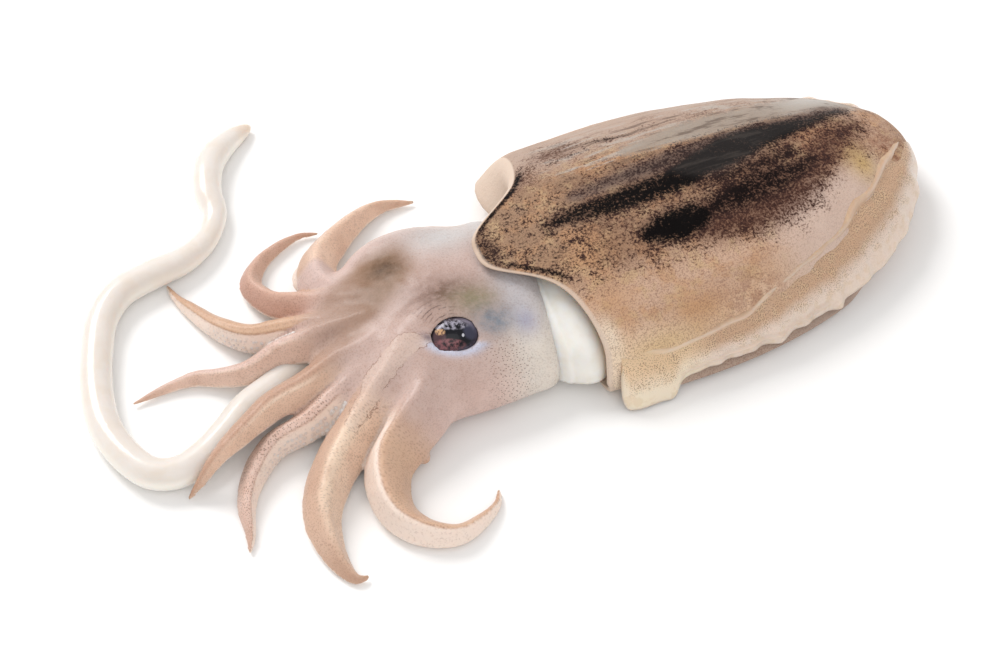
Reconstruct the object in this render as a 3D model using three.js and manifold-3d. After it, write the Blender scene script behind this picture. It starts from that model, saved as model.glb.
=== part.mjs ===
// A whole raw cuttlefish lying belly down: the mantle with its two fins, the neck collar, the head with its
// eight arms, the two eyes and one long feeding tentacle. Millimetres. +X runs from the head to the tail,
// +Z is up, and the origin lies under the flat patch of the belly, on the surface that it rests on.
import * as THREE from 'three';
import { mergeVertices } from 'three/addons/utils/BufferGeometryUtils.js';
import Module from 'manifold-3d';

const { clamp, degToRad, lerp, smoothstep } = THREE.MathUtils;

// Mantle: a low dome on a flat belly, open in front where the back runs out in a lobe
const TAIL_X = 66.5;
const TAIL_Z = 10;
const TAIL_SWAY = 4;
const SWAY_CURVE = 3;
const WIDEST_X = -20;
const BODY_HALF_WIDTH = 41.5;
const SIDE_CURVE = 2;
const TAIL_BLUNTNESS = 0.52;
const FRONT_NARROWING = 0.5;
const RIM_X = -45.5;
const LOBE_LENGTH = 22;
const LOBE_HALF_WIDTH = 13.5;
const LOBE_CENTRE_Y = -1;
const LOBE_SHOULDER = 3.2;
const LOBE_DROP = 4;
const LEFT_LIP = 6;
const LEFT_LIP_SHARPNESS = 12;
const BACK_HEIGHT = 30.5;
const BACK_CREST_X = -12;
const BACK_FALL = 0.46;
const FLANK_Z = 6;
const BELLY_LIFT_X = 46;
const BELLY_SAG = 1.5;
const UPPER_FULLNESS = 0.86;
const LOWER_FULLNESS = 0.6;
const WALL_SCALE = 0.94;
const POCKET_X = -41;
const POCKET_AXIS_Z = 13;
const LIP_STEP = 0.008;
const TAIL_RING = 0.995;
const RING_CROWDING = 1.25;
const MANTLE_SIDES = 52;
const MANTLE_RINGS = 30;
const POCKET_RINGS = 4;

// Fins: a thin wavy skirt along each flank, drooping to the table, with a loose lobe at its front end
const FIN_SIDES = [1, -1];
const FIN_FRONT_X = -42;
const FIN_OVERHANG = 2.8;
const FIN_TAIL_OVERHANG = 0.8;
const FIN_LOBE = 4.6;
const FIN_LOBE_X = -35;
const FIN_LOBE_SPREAD = 6;
const FIN_WAVE = 0.8;
const FIN_WAVE_LENGTH = 21;
const FIN_BULGE = 0.5;
const FIN_EDGE_Z = 3.2;
const FIN_TAIL_Z = 10;
const FIN_TAIL_RISE = 6;
const FIN_ROOT_ANGLE = degToRad(12);
const FIN_ROOT_CLIMB = degToRad(27);
const FIN_ROOT_TAIL_CLIMB = degToRad(24);
const FIN_ROOT_SETBACK = 7;
const FIN_ROOT_DEPTH = 2.5;
const FIN_ROOT_THICKNESS = 2;
const FIN_EDGE_THICKNESS = 1.3;
const FIN_STATIONS = 36;
const FIN_FRONT_SHARE = 0.22;
const FIN_NOSE_SHARE = 0.07;
const FIN_LAST_TURN = degToRad(87);
const FIN_SLOPE_STEP = 0.05;
const FIN_ROWS = [0, 0.35, 0.7, 1];

// Head: a soft block with a flat underside, given by stations from the neck to the front of the crown
const HEAD_X = [-55, -57.5, -64, -73, -82, -92, -100, -107, -113];
const HEAD_HALF_WIDTH = [23.5, 26.6, 28.4, 29.8, 30, 28.4, 25.5, 20, 10];
const HEAD_TOP = [18, 20.5, 22.8, 24.4, 25, 23.4, 19.5, 15.5, 11];
const HEAD_CENTRE_Y = [-7.2, -6.8, -6.3, -5.6, -5.2, -5.6, -7, -8, -8];
const HEAD_FLANK_Z = 7.5;
const HEAD_FLANK_SHARE = 0.6;
const HEAD_NOSE = 2;
const HEAD_SIDES = 32;
const HEAD_RINGS = 18;
const FOOT_Z = 0.3;

// Neck collar: a smooth ring of muscle in the mantle's opening, which narrows forwards to the head
const COLLAR_X = [-42.5, -46.5, -50, -52.5, -54.6];
const COLLAR_HALF_WIDTH = [35, 36.8, 34, 30.5, 26];
const COLLAR_TOP = [20, 22, 21.5, 20, 17.5];
const COLLAR_CENTRE_Y = [-0.6, -1.2, -3.2, -5, -7];
const COLLAR_FOOT_Z = 1.3;
const COLLAR_SIDES = 36;
const COLLAR_RINGS = 7;

// Cross section of head and collar: a round upper half on a flatter underside
const ROUND_ABOVE = 0.9;
const FLAT_BELOW = 0.62;

// Arms, counted from the far left round to the near right: route of the middle line, root radius and taper
const ARMS = [
  { radius: 6.3, taper: 1.7, route: [[-98, 6, 12], [-104, 18, 9], [-101, 30, 6.2], [-94, 37, 4.5],
    [-85, 43, 3.5], [-77, 46, 2.3], [-67, 45, 1.2]] },
  { radius: 5.4, taper: 1.2, route: [[-100, 4, 13], [-110, 14, 8.8], [-117, 22, 5], [-120, 32, 3.3],
    [-115, 39, 2.6], [-108, 43, 2.1], [-101, 45, 1.6], [-96, 44, 1.2]] },
  { radius: 6.8, taper: 1.5, route: [[-104, 0, 11], [-117, 8, 7], [-127, 12.5, 5], [-133, 19.5, 4],
    [-137, 28, 2.8], [-140, 36, 1.8], [-141, 42, 1.2]] },
  { radius: 5.8, taper: 1.1, route: [[-103, -3, 14], [-114, 0, 11], [-122, 2, 8.4], [-131, 1.5, 5.4],
    [-138, 4, 3.7], [-144, 7, 2.6], [-151, 7.5, 1.8], [-162, 6, 1.1]] },
  { radius: 5.8, taper: 1.6, route: [[-102, -11, 14], [-111, -11, 12], [-120, -13, 10.3], [-130, -15, 10],
    [-139, -20, 10.3], [-148, -25, 9.6], [-154, -27.5, 4.6], [-158, -29, 1.1]] },
  { radius: 5.8, taper: 2, route: [[-104, -17, 11], [-114, -19, 8.2], [-123, -22, 5.8], [-133, -24, 4.6],
    [-141, -31, 3.3], [-145, -38, 2.5], [-147, -46, 1.6], [-149, -51, 1.1]] },
  { radius: 6.8, taper: 2.6, route: [[-97, -19, 14], [-106, -25, 10], [-115, -31, 6.5], [-124, -40, 4.8],
    [-129, -49, 4.4], [-130, -58, 3.2], [-129, -65, 1.9], [-127, -69, 1.4], [-124, -69, 1.2]] },
  { radius: 8.4, taper: 1.3, route: [[-93, -29, 11], [-102, -36, 8.3], [-109, -42, 6.5], [-112, -51, 5.6],
    [-111, -58, 4.5], [-106, -64, 3.5], [-99, -67, 3], [-92, -65, 2.3], [-86, -61, 1.6], [-84, -57, 1.2]] },
];
const ARM_TIP_RADIUS = 0.5;
const ARM_TIP_BLUNTNESS = 0.9;
const ARM_FLATNESS = 0.9;
const ARM_KEEL = 0.14;
const KEEL_SHARPNESS = 4;
const ARM_SIDES = 10;
const ARM_RINGS = 15;

// Tentacle: a smooth strap that comes out between the fourth and fifth arms and loops round to its club
const TENTACLE_ROUTE = [[-116, 0, 4.4], [-126, -5, 4.2], [-135, -9, 4.2], [-143, -15, 4.2], [-151, -20, 4.2],
  [-158, -22, 4.2], [-164, -20, 4.2], [-168, -14, 4.2], [-171, -2, 4.2], [-170, 10, 4.2], [-166, 24, 4.1],
  [-161, 35, 4.1], [-154, 42, 4], [-144, 45, 3.8], [-134, 47, 3.6], [-126, 52, 3.4], [-121, 60, 3.6],
  [-120, 69, 4.4], [-116, 79, 4], [-109, 86, 3], [-100, 91, 1.8]];
const TENTACLE_RADIUS = 4.4;
const TENTACLE_NECK = 1.1;
const TENTACLE_NECK_AT = 0.77;
const TENTACLE_NECK_SPREAD = 0.07;
const TENTACLE_CLUB_AT = 0.87;
const TENTACLE_CLUB_CURVE = 2.2;
const TENTACLE_TIP_LOSS = 0.9;
const TENTACLE_SIDES = 12;
const TENTACLE_RINGS = 52;
const TENTACLE_CLEARANCE = 0.45;

// Eyes: flattened balls in a socket on each side of the head, the right one turned up to the light
const EYE_RADII = [6.9, 5.2, 3.6];
const EYES = {
  eye_left: { at: [-81.5, 21.6, 11.5], tilt: degToRad(-72) },
  eye_right: { at: [-81.5, -20.8, 20.8], tilt: degToRad(36) },
};
const EYE_SIDES = 18;
const EYE_RINGS = 10;
const EYE_CLEARANCE = 0.35;

// Wet flesh as it looks in even light
const MANTLE_FINISH = { color: 0x9c7f63, roughness: 0.35, metalness: 0 };
const COLLAR_FINISH = { color: 0xe9e4d6, roughness: 0.25, metalness: 0 };
const HEAD_FINISH = { color: 0xcfae98, roughness: 0.35, metalness: 0 };
const EYE_FINISH = { color: 0x1b1c2a, roughness: 0.1, metalness: 0 };
const TENTACLE_FINISH = { color: 0xefe6d8, roughness: 0.3, metalness: 0 };

const wasm = await Module();
wasm.setup();

// A row of equal steps from 0 to 1
function steps(count) {
  return Array.from({ length: count }, (_, k) => k / (count - 1));
}

// Angles once round a closed ring
function turnsOf(count) {
  return Array.from({ length: count }, (_, k) => (2 * Math.PI * k) / count);
}

// A power that keeps the sign of its base
function signedPower(base, power) {
  return Math.sign(base) * Math.abs(base) ** power;
}

// A smooth function of x through a few stations, given in order from the tail side to the head side
function through(stations, values) {
  const curve = new THREE.CubicInterpolant(stations.toReversed(), values.toReversed(), 1);
  return (x) => curve.evaluate(x)[0];
}

// Closed skin over a row of rings of equal count, each turning anticlockwise about the way they advance
function skin(rings, startPole, endPole) {
  const count = rings[0].length;
  const points = [startPole, ...rings.flat(), endPole];
  const last = rings.length - 1;
  const at = (ring, k) => 1 + ring * count + (k % count);
  const index = [];
  for (let k = 0; k < count; k++) {
    index.push(0, at(0, k + 1), at(0, k));
    for (let ring = 0; ring < last; ring++) {
      index.push(at(ring, k), at(ring, k + 1), at(ring + 1, k + 1));
      index.push(at(ring, k), at(ring + 1, k + 1), at(ring + 1, k));
    }
    index.push(points.length - 1, at(last, k), at(last, k + 1));
  }
  return new THREE.BufferGeometry().setFromPoints(points).setIndex(index);
}

// A solid that can be joined and cut, from any closed geometry
function solid(geometry) {
  const bare = geometry.clone();
  bare.deleteAttribute('normal');
  bare.deleteAttribute('uv');
  const merged = mergeVertices(bare);
  const vertProperties = new Float32Array(merged.attributes.position.array);
  const triVerts = new Uint32Array(merged.index.array);
  return new wasm.Manifold(new wasm.Mesh({ numProp: 3, vertProperties, triVerts }));
}

// The largest body of a joined solid, without the scraps and sealed hollows that joining can leave
function mainBody(joined) {
  return joined.decompose().reduce((best, piece) => (piece.volume() > best.volume() ? piece : best));
}

function flesh(name, body, finish) {
  const { vertProperties, triVerts } = body.getMesh();
  const geometry = new THREE.BufferGeometry();
  geometry.setAttribute('position', new THREE.BufferAttribute(new Float32Array(vertProperties), 3));
  geometry.setIndex(new THREE.BufferAttribute(new Uint32Array(triVerts), 1));
  geometry.computeVertexNormals();
  const mesh = new THREE.Mesh(geometry, new THREE.MeshStandardMaterial(finish));
  mesh.name = name;
  return mesh;
}

// How far x lies from the widest place towards the tail, 0 to 1
function tailward(x) {
  return clamp((x - WIDEST_X) / (TAIL_X - WIDEST_X), 0, 1);
}

// Half width of the mantle at x: nearly parallel in front, rounding in to the tail
function bodyHalfWidth(x) {
  const front = clamp((WIDEST_X - x) / (WIDEST_X - RIM_X), 0, 1);
  return BODY_HALF_WIDTH * (1 - tailward(x) ** SIDE_CURVE) ** TAIL_BLUNTNESS - FRONT_NARROWING * front ** 2;
}

// Height of the back's middle line, of the widest line and of the belly at x
function bodyHeights(x) {
  const back = clamp((x - BACK_CREST_X) / (TAIL_X - BACK_CREST_X), 0, 1);
  const front = clamp((BACK_CREST_X - x) / (BACK_CREST_X - RIM_X + LOBE_LENGTH), 0, 1);
  const lift = clamp((x - BELLY_LIFT_X) / (TAIL_X - BELLY_LIFT_X), 0, 1) ** 2;
  const top = TAIL_Z + (BACK_HEIGHT - TAIL_Z) * (1 - back ** 2) ** BACK_FALL - LOBE_DROP * front ** 2;
  return { top, flank: lerp(FLANK_Z, TAIL_Z, lift), belly: lerp(-BELLY_SAG, TAIL_Z, lift) };
}

// A point of the mantle's skin: angle 0 is the left flank, 90 degrees the back, 270 the belly
function bodyPoint(x, angle) {
  const { top, flank, belly } = bodyHeights(x);
  const up = Math.sin(angle);
  const power = up < 0 ? LOWER_FULLNESS : UPPER_FULLNESS;
  const reach = up < 0 ? flank - belly : top - flank;
  const y = bodyHalfWidth(x) * signedPower(Math.cos(angle), power);
  return new THREE.Vector3(x, y, Math.max(flank + reach * signedPower(up, power), 0));
}

// The tail lies a little over to the left
function swayed(point) {
  return point.setY(point.y + TAIL_SWAY * tailward(point.x) ** SWAY_CURVE);
}

// Front edge of the mantle: set back round the flanks, run out in a lobe over the neck and a lip on the left
function rimX(angle) {
  const { y } = bodyPoint(RIM_X, angle);
  const aside = Math.abs(y - LOBE_CENTRE_Y) / LOBE_HALF_WIDTH;
  const lobe = Math.sin(angle) > 0 ? LOBE_LENGTH / (1 + aside ** LOBE_SHOULDER) : 0;
  return RIM_X - lobe - LEFT_LIP * Math.max(Math.cos(angle), 0) ** LEFT_LIP_SHARPNESS;
}

// The mantle's sac: out of its front pocket, round the lip and over the skin to the tail
function mantleSac() {
  const angles = turnsOf(MANTLE_SIDES);
  const inwards = (point) => new THREE.Vector3(point.x, point.y * WALL_SCALE,
    lerp(POCKET_AXIS_Z, point.z, WALL_SCALE));
  const rings = [];
  for (let k = 0; k < POCKET_RINGS; k++) {
    const outOf = k / POCKET_RINGS;
    rings.push(angles.map((a) => inwards(bodyPoint(lerp(POCKET_X, rimX(a) + 1, outOf), a))));
  }
  rings.push(angles.map((a) => {
    const outer = bodyPoint(rimX(a), a);
    return outer.clone().lerp(inwards(outer), 0.5);
  }));
  for (const step of steps(MANTLE_RINGS)) {
    const along = lerp(LIP_STEP, TAIL_RING, Math.sin((Math.PI / 2) * step) ** RING_CROWDING);
    rings.push(angles.map((a) => swayed(bodyPoint(lerp(rimX(a), TAIL_X, along), a))));
  }
  const pocketEnd = new THREE.Vector3(POCKET_X, 0, POCKET_AXIS_Z);
  return skin(rings, pocketEnd, swayed(new THREE.Vector3(TAIL_X, 0, TAIL_Z)));
}

// Where a fin grows out of the flank at x: it climbs towards the tail
function finRoot(x) {
  const climb = FIN_ROOT_CLIMB * smoothstep(x, WIDEST_X, BELLY_LIFT_X);
  return bodyPoint(x, FIN_ROOT_ANGLE + climb + FIN_ROOT_TAIL_CLIMB * smoothstep(x, BELLY_LIFT_X, TAIL_X));
}

// One fin, side +1 on the left and -1 on the right: thin blades from root to edge, from the front to the tail
function fin(side) {
  const rings = [];
  for (let k = 0; k < FIN_STATIONS; k++) {
    const along = (k + 0.5) / FIN_STATIONS;
    const sweep = clamp((along - FIN_FRONT_SHARE) / (1 - FIN_FRONT_SHARE), 0, 1);
    const curl = Math.sin(sweep * FIN_LAST_TURN);
    const x = sweep > 0 ? lerp(WIDEST_X, TAIL_X, curl) : lerp(FIN_FRONT_X, WIDEST_X, along / FIN_FRONT_SHARE);
    const fall = bodyHalfWidth(x - FIN_SLOPE_STEP) - bodyHalfWidth(x + FIN_SLOPE_STEP);
    const outward = new THREE.Vector3(fall, 2 * FIN_SLOPE_STEP, 0).normalize();
    const root = finRoot(x - FIN_ROOT_SETBACK * curl ** 4);
    const lobe = FIN_LOBE * Math.exp(-(((x - FIN_LOBE_X) / FIN_LOBE_SPREAD) ** 2));
    const wave = FIN_WAVE * Math.sin((2 * Math.PI * x) / FIN_WAVE_LENGTH);
    const tailShare = curl ** FIN_TAIL_RISE;
    const overhang = lerp(FIN_OVERHANG + lobe + wave, FIN_TAIL_OVERHANG, tailShare);
    const edge = new THREE.Vector3(x, bodyHalfWidth(x), 0).addScaledVector(outward, overhang);
    edge.setZ(lerp(FIN_EDGE_Z + wave, FIN_TAIL_Z, tailShare));
    const nose = clamp(1 - along / FIN_NOSE_SHARE, 0, 1);
    const tip = root.clone().lerp(edge, Math.sqrt(1 - nose ** 2));
    const chord = tip.clone().sub(root);
    const seat = root.clone().addScaledVector(chord.clone().normalize(), -FIN_ROOT_DEPTH);
    const up = new THREE.Vector3(outward.y, -outward.x, 0).cross(chord).normalize();
    const face = (sign) => FIN_ROWS.map((share) => {
      const half = lerp(FIN_ROOT_THICKNESS, FIN_EDGE_THICKNESS, share) / 2;
      const bulge = FIN_BULGE * Math.sin(Math.PI * share);
      return seat.clone().lerp(tip, share).addScaledVector(up, bulge + sign * half);
    });
    const ring = [...face(-1), ...face(1).reverse()];
    for (const point of ring) {
      swayed(point.set(point.x, side * point.y, Math.max(point.z, FOOT_Z)));
    }
    rings.push(side > 0 ? ring : ring.reverse());
  }
  const middle = (ring) => ring.reduce((sum, p) => sum.add(p), new THREE.Vector3()).divideScalar(ring.length);
  return skin(rings, middle(rings[0]), middle(rings.at(-1)));
}

// Rings across the X axis, from sections given by half width, top, flank, foot and sideways centre
function roundedRings(stations, sides, section) {
  return stations.map((x) => {
    const { halfWidth, top, flank, foot, centre } = section(x);
    return turnsOf(sides).map((angle) => {
      const up = Math.sin(angle);
      const power = up < 0 ? FLAT_BELOW : ROUND_ABOVE;
      const y = centre + halfWidth * signedPower(Math.cos(angle), power);
      return new THREE.Vector3(x, y, flank + (up < 0 ? flank - foot : top - flank) * signedPower(up, power));
    });
  });
}

function headBlock() {
  const halfWidth = through(HEAD_X, HEAD_HALF_WIDTH);
  const top = through(HEAD_X, HEAD_TOP);
  const centre = through(HEAD_X, HEAD_CENTRE_Y);
  const [neck, crown] = [HEAD_X[0], HEAD_X.at(-1)];
  const stations = steps(HEAD_RINGS).map((step) => lerp(crown, neck, step));
  const rings = roundedRings(stations, HEAD_SIDES, (x) => ({
    halfWidth: halfWidth(x),
    top: top(x),
    flank: Math.min(HEAD_FLANK_Z, HEAD_FLANK_SHARE * top(x)),
    foot: FOOT_Z,
    centre: centre(x),
  }));
  const front = new THREE.Vector3(crown - HEAD_NOSE, centre(crown), top(crown) / 2);
  return skin(rings, front, new THREE.Vector3(neck, centre(neck), top(neck) / 2));
}

function collarRing() {
  const halfWidth = through(COLLAR_X, COLLAR_HALF_WIDTH);
  const top = through(COLLAR_X, COLLAR_TOP);
  const centre = through(COLLAR_X, COLLAR_CENTRE_Y);
  const [inner, neck] = [COLLAR_X[0], COLLAR_X.at(-1)];
  const stations = steps(COLLAR_RINGS).map((step) => lerp(neck, inner, step));
  const rings = roundedRings(stations, COLLAR_SIDES, (x) => ({
    halfWidth: halfWidth(x),
    top: top(x),
    flank: HEAD_FLANK_Z,
    foot: COLLAR_FOOT_Z,
    centre: centre(x),
  }));
  const pole = (x) => new THREE.Vector3(x, centre(x), top(neck) / 2);
  return skin(rings, pole(neck), pole(inner));
}

// A limb along a route: rings square to the middle line, kept above the table
function limb(route, sides, ringCount, radiusAt, keel) {
  const curve = new THREE.CatmullRomCurve3(route.map((p) => new THREE.Vector3(...p)));
  const rings = steps(ringCount).map((along) => {
    const centre = curve.getPointAt(along);
    const ahead = curve.getTangentAt(along);
    const right = new THREE.Vector3(0, 0, 1).cross(ahead).normalize();
    const up = ahead.clone().cross(right);
    const radius = radiusAt(along);
    return turnsOf(sides).map((angle) => {
      const lift = Math.sin(angle);
      const ridge = 1 + keel * Math.max(lift, 0) ** KEEL_SHARPNESS;
      const point = centre.clone().addScaledVector(right, radius * Math.cos(angle));
      point.addScaledVector(up, ARM_FLATNESS * radius * lift * ridge);
      return point.setZ(Math.max(point.z, FOOT_Z));
    });
  });
  return skin(rings, curve.getPoint(0), curve.getPoint(1));
}

function arm({ route, radius, taper }) {
  const radiusAt = (along) => lerp(ARM_TIP_RADIUS, radius, (1 - along ** taper) ** ARM_TIP_BLUNTNESS);
  return limb(route, ARM_SIDES, ARM_RINGS, radiusAt, ARM_KEEL);
}

function tentacleStrap(clearance) {
  const radiusAt = (along) => {
    const neck = TENTACLE_NECK * Math.exp(-(((along - TENTACLE_NECK_AT) / TENTACLE_NECK_SPREAD) ** 2));
    const end = clamp((along - TENTACLE_CLUB_AT) / (1 - TENTACLE_CLUB_AT), 0, 1);
    const narrowing = Math.sqrt(1 - TENTACLE_TIP_LOSS * end ** TENTACLE_CLUB_CURVE);
    return (TENTACLE_RADIUS - neck) * narrowing + clearance;
  };
  return limb(TENTACLE_ROUTE, TENTACLE_SIDES, TENTACLE_RINGS, radiusAt, 0);
}

function eyeball({ at, tilt }, clearance) {
  const ball = new THREE.SphereGeometry(1, EYE_SIDES, EYE_RINGS);
  ball.scale(...EYE_RADII.map((radius) => radius + clearance));
  return ball.rotateX(tilt).translate(...at);
}

const tentacle = solid(tentacleStrap(0));
const mantle = FIN_SIDES.reduce((joined, side) => joined.add(solid(fin(side))), solid(mantleSac()));
const collar = solid(collarRing());
let headAndArms = ARMS.reduce((joined, spec) => joined.add(solid(arm(spec))), solid(headBlock()));
headAndArms = headAndArms.subtract(solid(tentacleStrap(TENTACLE_CLEARANCE)));
for (const spec of Object.values(EYES)) {
  headAndArms = headAndArms.subtract(solid(eyeball(spec, EYE_CLEARANCE)));
}

const cuttlefish = new THREE.Group();
cuttlefish.add(flesh('mantle', mainBody(mantle), MANTLE_FINISH));
cuttlefish.add(flesh('neck_collar', collar, COLLAR_FINISH));
cuttlefish.add(flesh('head_and_arms', mainBody(headAndArms), HEAD_FINISH));
for (const [name, spec] of Object.entries(EYES)) {
  cuttlefish.add(flesh(name, solid(eyeball(spec, 0)), EYE_FINISH));
}
cuttlefish.add(flesh('tentacle', tentacle, TENTACLE_FINISH));

export default cuttlefish;
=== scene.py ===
"""A whole raw cuttlefish lying belly down: mantle, fins, collar, head with eight arms, eyes and tentacle."""
import itertools
import math

import bpy
import numpy as np
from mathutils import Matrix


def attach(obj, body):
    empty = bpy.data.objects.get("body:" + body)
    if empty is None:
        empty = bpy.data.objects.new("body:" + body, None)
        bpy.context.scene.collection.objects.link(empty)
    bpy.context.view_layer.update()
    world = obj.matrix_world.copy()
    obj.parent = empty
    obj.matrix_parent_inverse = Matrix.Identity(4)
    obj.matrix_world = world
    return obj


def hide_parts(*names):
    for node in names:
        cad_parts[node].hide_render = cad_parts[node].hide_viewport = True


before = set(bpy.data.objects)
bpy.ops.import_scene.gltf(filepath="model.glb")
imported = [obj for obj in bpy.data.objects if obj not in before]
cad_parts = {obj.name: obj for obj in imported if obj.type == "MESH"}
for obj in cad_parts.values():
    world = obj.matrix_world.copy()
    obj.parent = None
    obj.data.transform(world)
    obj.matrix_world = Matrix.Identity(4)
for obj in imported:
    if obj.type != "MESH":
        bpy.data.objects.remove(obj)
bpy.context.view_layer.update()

import openvdb
from mathutils import Vector, kdtree
from mathutils.bvhtree import BVHTree


# Mantle
# The muscular sac of the body under a thin wet skin, open in front with a rounded lip that runs out in a lobe
# over the neck. The back carries two inky bands of pigment; flanks and belly are paler. Sizes in millimetres.
MM = 0.001
LIGHT = 1.24
FLESH_IOR = 1.38
TAIL_X = 66.5
TAIL_Z = 10
TAIL_SWAY = 4
WIDEST_X = -20
BODY_HALF_WIDTH = 41.5
TAIL_BLUNTNESS = 0.52
FRONT_NARROWING = 0.5
RIM_X = -45.5
RIM_WAVER = 0.5
LOBE_LENGTH = 22
LOBE_HALF_WIDTH = 13.5
LOBE_CENTRE_Y = -1
LOBE_SHOULDER = 3.2
LOBE_DROP = 4
LEFT_LIP = 6
LEFT_LIP_SHARPNESS = 12
FAR_SAG = 2.5
BACK_HEIGHT = 30.5
BACK_CREST_X = -12
BACK_FALL = 0.46
FLANK_Z = 6
BELLY_LIFT_X = 46
BELLY_SAG = 1.5
BELLY_BULGE = 4.8
BELLY_BULGE_Z = 2.2
UPPER_FULLNESS = 0.86
LOWER_FULLNESS = 0.6
WALL_SCALE = 0.955
POCKET_X = -41
POCKET_AXIS_Z = 13
LIP_ROUNDING = 0.7
EAR_TURN = math.radians(12)
EAR_WALL = 0.38
EAR_ROUNDING = 2.6
RIDGE_X = [-41, -20, 4, 30, 55]
RIDGE_Z = [14.8, 13.6, 18, 19.3, 20.7]
MANTLE_SIDES = 250
MANTLE_RINGS = 190
LIP_RINGS = 8
POCKET_RINGS = 8

# Routes of pigment over the back as (x, y, half width)
FAR_BAND = [(-47, -1, 1.2), (-40, -1, 3), (-30, -1.6, 3.8), (-20, -1.2, 4.6), (-10, -0.8, 4.6), (0, 2, 5),
            (10, 4.5, 6), (20, 6.5, 5), (30, 8, 3.5), (40, 9.5, 2.2), (50, 12, 1.2)]
GREY_BAND = [(-38, 5, 1.4), (-25, 6, 2.5), (-10, 7, 3.5), (0, 8, 4), (15, 9, 4), (30, 10, 3), (45, 12, 1.5)]
NEAR_BLOB = [(-23, -15, 3.2), (-16, -14.8, 5.2), (-9, -14, 4.6)]
NEAR_BAND = [(-6, -13, 4.5), (4, -11.5, 6.5), (14, -9.5, 7), (24, -8, 5), (31, -5, 3)]
MIDDLE_BAND = [(-6, -5, 2), (4, -4, 3.5), (14, -4, 4), (26, -1, 3.5)]
BROWN_BAND = [(-10, -17, 6), (-2, -18, 7), (8, -17, 8), (20, -14.5, 7), (30, -7.5, 6.5), (40, 0, 6),
              (49, 5, 4.5)]
SLATE_PATCH = [(-36, 4.5, 2), (-22, 6, 2.5), (-8, 6.5, 3.5), (2, 4, 7), (10, 5, 6.5), (20, 8, 4), (34, 10, 3),
               (50, 13, 1.6)]
RIM_SQUIGGLE = [(-40, -8, 0.3), (-45, -9, 0.7), (-49, -12, 0.9), (-52, -16, 0.6)]
FAR_STREAK = [(-38, 19.5, 0.2), (-32, 20.5, 0.6), (-26, 21, 0.5), (-24, 23.5, 0.6), (-18, 22.5, 1),
              (-12, 21, 0.3)]
GREY_STRIP = [(-16, 15, 2), (0, 16, 4), (20, 16.5, 4.5), (40, 17, 4), (54, 16, 2)]
# Strips of a colour along those routes as (strength, route, softness of the edge)
INK_STRIPS = [(1.2, FAR_BAND, 9), (1.3, NEAR_BLOB, 9), (0.86, NEAR_BAND, 11), (0.8, MIDDLE_BAND, 8),
              (0.68, GREY_BAND, 6), (0.8, RIM_SQUIGGLE, 2), (0.75, FAR_STREAK, 2.2), (0.44, BROWN_BAND, 12)]
BROWN_STRIPS = [(0.85, BROWN_BAND, 13), (0.8, FAR_BAND, 14), (0.9, NEAR_BAND, 13), (0.85, MIDDLE_BAND, 11)]
# Soft round stains, and white spots of painted highlight, as (strength, centre, reach)
INK_STAINS = [(0.76, (-64.5, -2, 26), (6, 9, 9)), (0.66, (-47, -4, 29), (4, 4, 9))]
BROWN_STAINS = [(0.7, (-33, 24, 23), (12, 6, 12)), (0.7, (-46, 17, 22), (10, 9, 12))]
ORANGE_STAINS = [(0.9, (-17, -37, 20), (9, 5, 5)), (0.7, (6, -33, 20), (8, 5, 5)),
                 (0.6, (-40, -28, 24), (6, 7, 6)), (0.6, (-40, -14, 28), (9, 5, 9))]
RUST_STAINS = [(1, (36, 0, 26), (12, 8, 12)), (0.5, (-2, -36, 18), (10, 6, 8)),
               (0.75, (56, -5, 19), (6, 7, 9))]
OLIVE_STAINS = [(0.9, (44, -9, 23), (4.5, 6, 8)), (0.6, (-30, -40, 15), (12, 4, 4))]
WHITE_HIGHLIGHT_SPOTS = [(0.8, (44, 20, 20), (12, 6, 12))]


def smooth(value, start, end):
    """0 at the start and 1 at the end with an even slope between; the start may be the larger of the two."""
    share = np.clip((value - start) / (end - start), 0, 1)
    return share * share * (3 - 2 * share)


def span(value, start, full, fading, end):
    """0 up to the start, 1 from full to fading and 0 again from the end on."""
    return smooth(value, start, full) * smooth(value, end, fading)


def bell(value, centre, reach):
    return np.exp(-((value - centre) / reach) ** 2)


def unit(vectors):
    return vectors / np.linalg.norm(vectors, axis=-1, keepdims=True)


def signed_power(base, power):
    return np.sign(base) * np.abs(base) ** power


def tailward(x):
    return np.clip((x - WIDEST_X) / (TAIL_X - WIDEST_X), 0, 1)


def body_half_width(x):
    front = np.clip((WIDEST_X - x) / (WIDEST_X - RIM_X), 0, 1)
    return BODY_HALF_WIDTH * (1 - tailward(x) ** 2) ** TAIL_BLUNTNESS - FRONT_NARROWING * front ** 2


def body_point(x, angle):
    """A point of the mantle's skin: angle 0 is the left flank, a quarter turn the back, three the belly."""
    x, angle = np.broadcast_arrays(x, angle)
    back = np.clip((x - BACK_CREST_X) / (TAIL_X - BACK_CREST_X), 0, 1)
    front = np.clip((BACK_CREST_X - x) / (BACK_CREST_X - RIM_X + LOBE_LENGTH), 0, 1)
    lift = np.clip((x - BELLY_LIFT_X) / (TAIL_X - BELLY_LIFT_X), 0, 1) ** 2
    top = TAIL_Z + (BACK_HEIGHT - TAIL_Z) * (1 - back ** 2) ** BACK_FALL - LOBE_DROP * front ** 2
    flank = FLANK_Z + (TAIL_Z - FLANK_Z) * lift
    belly = -BELLY_SAG + (TAIL_Z + BELLY_SAG) * lift
    up = np.sin(angle)
    power = np.where(up < 0, LOWER_FULLNESS, UPPER_FULLNESS)
    reach = np.where(up < 0, flank - belly, top - flank)
    y = body_half_width(x) * signed_power(np.cos(angle), power)
    return np.stack([x, y, np.maximum(flank + reach * signed_power(up, power), 0)], -1)


def swayed(points):
    points[..., 1] += TAIL_SWAY * tailward(points[..., 0]) ** 3
    return points


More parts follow.
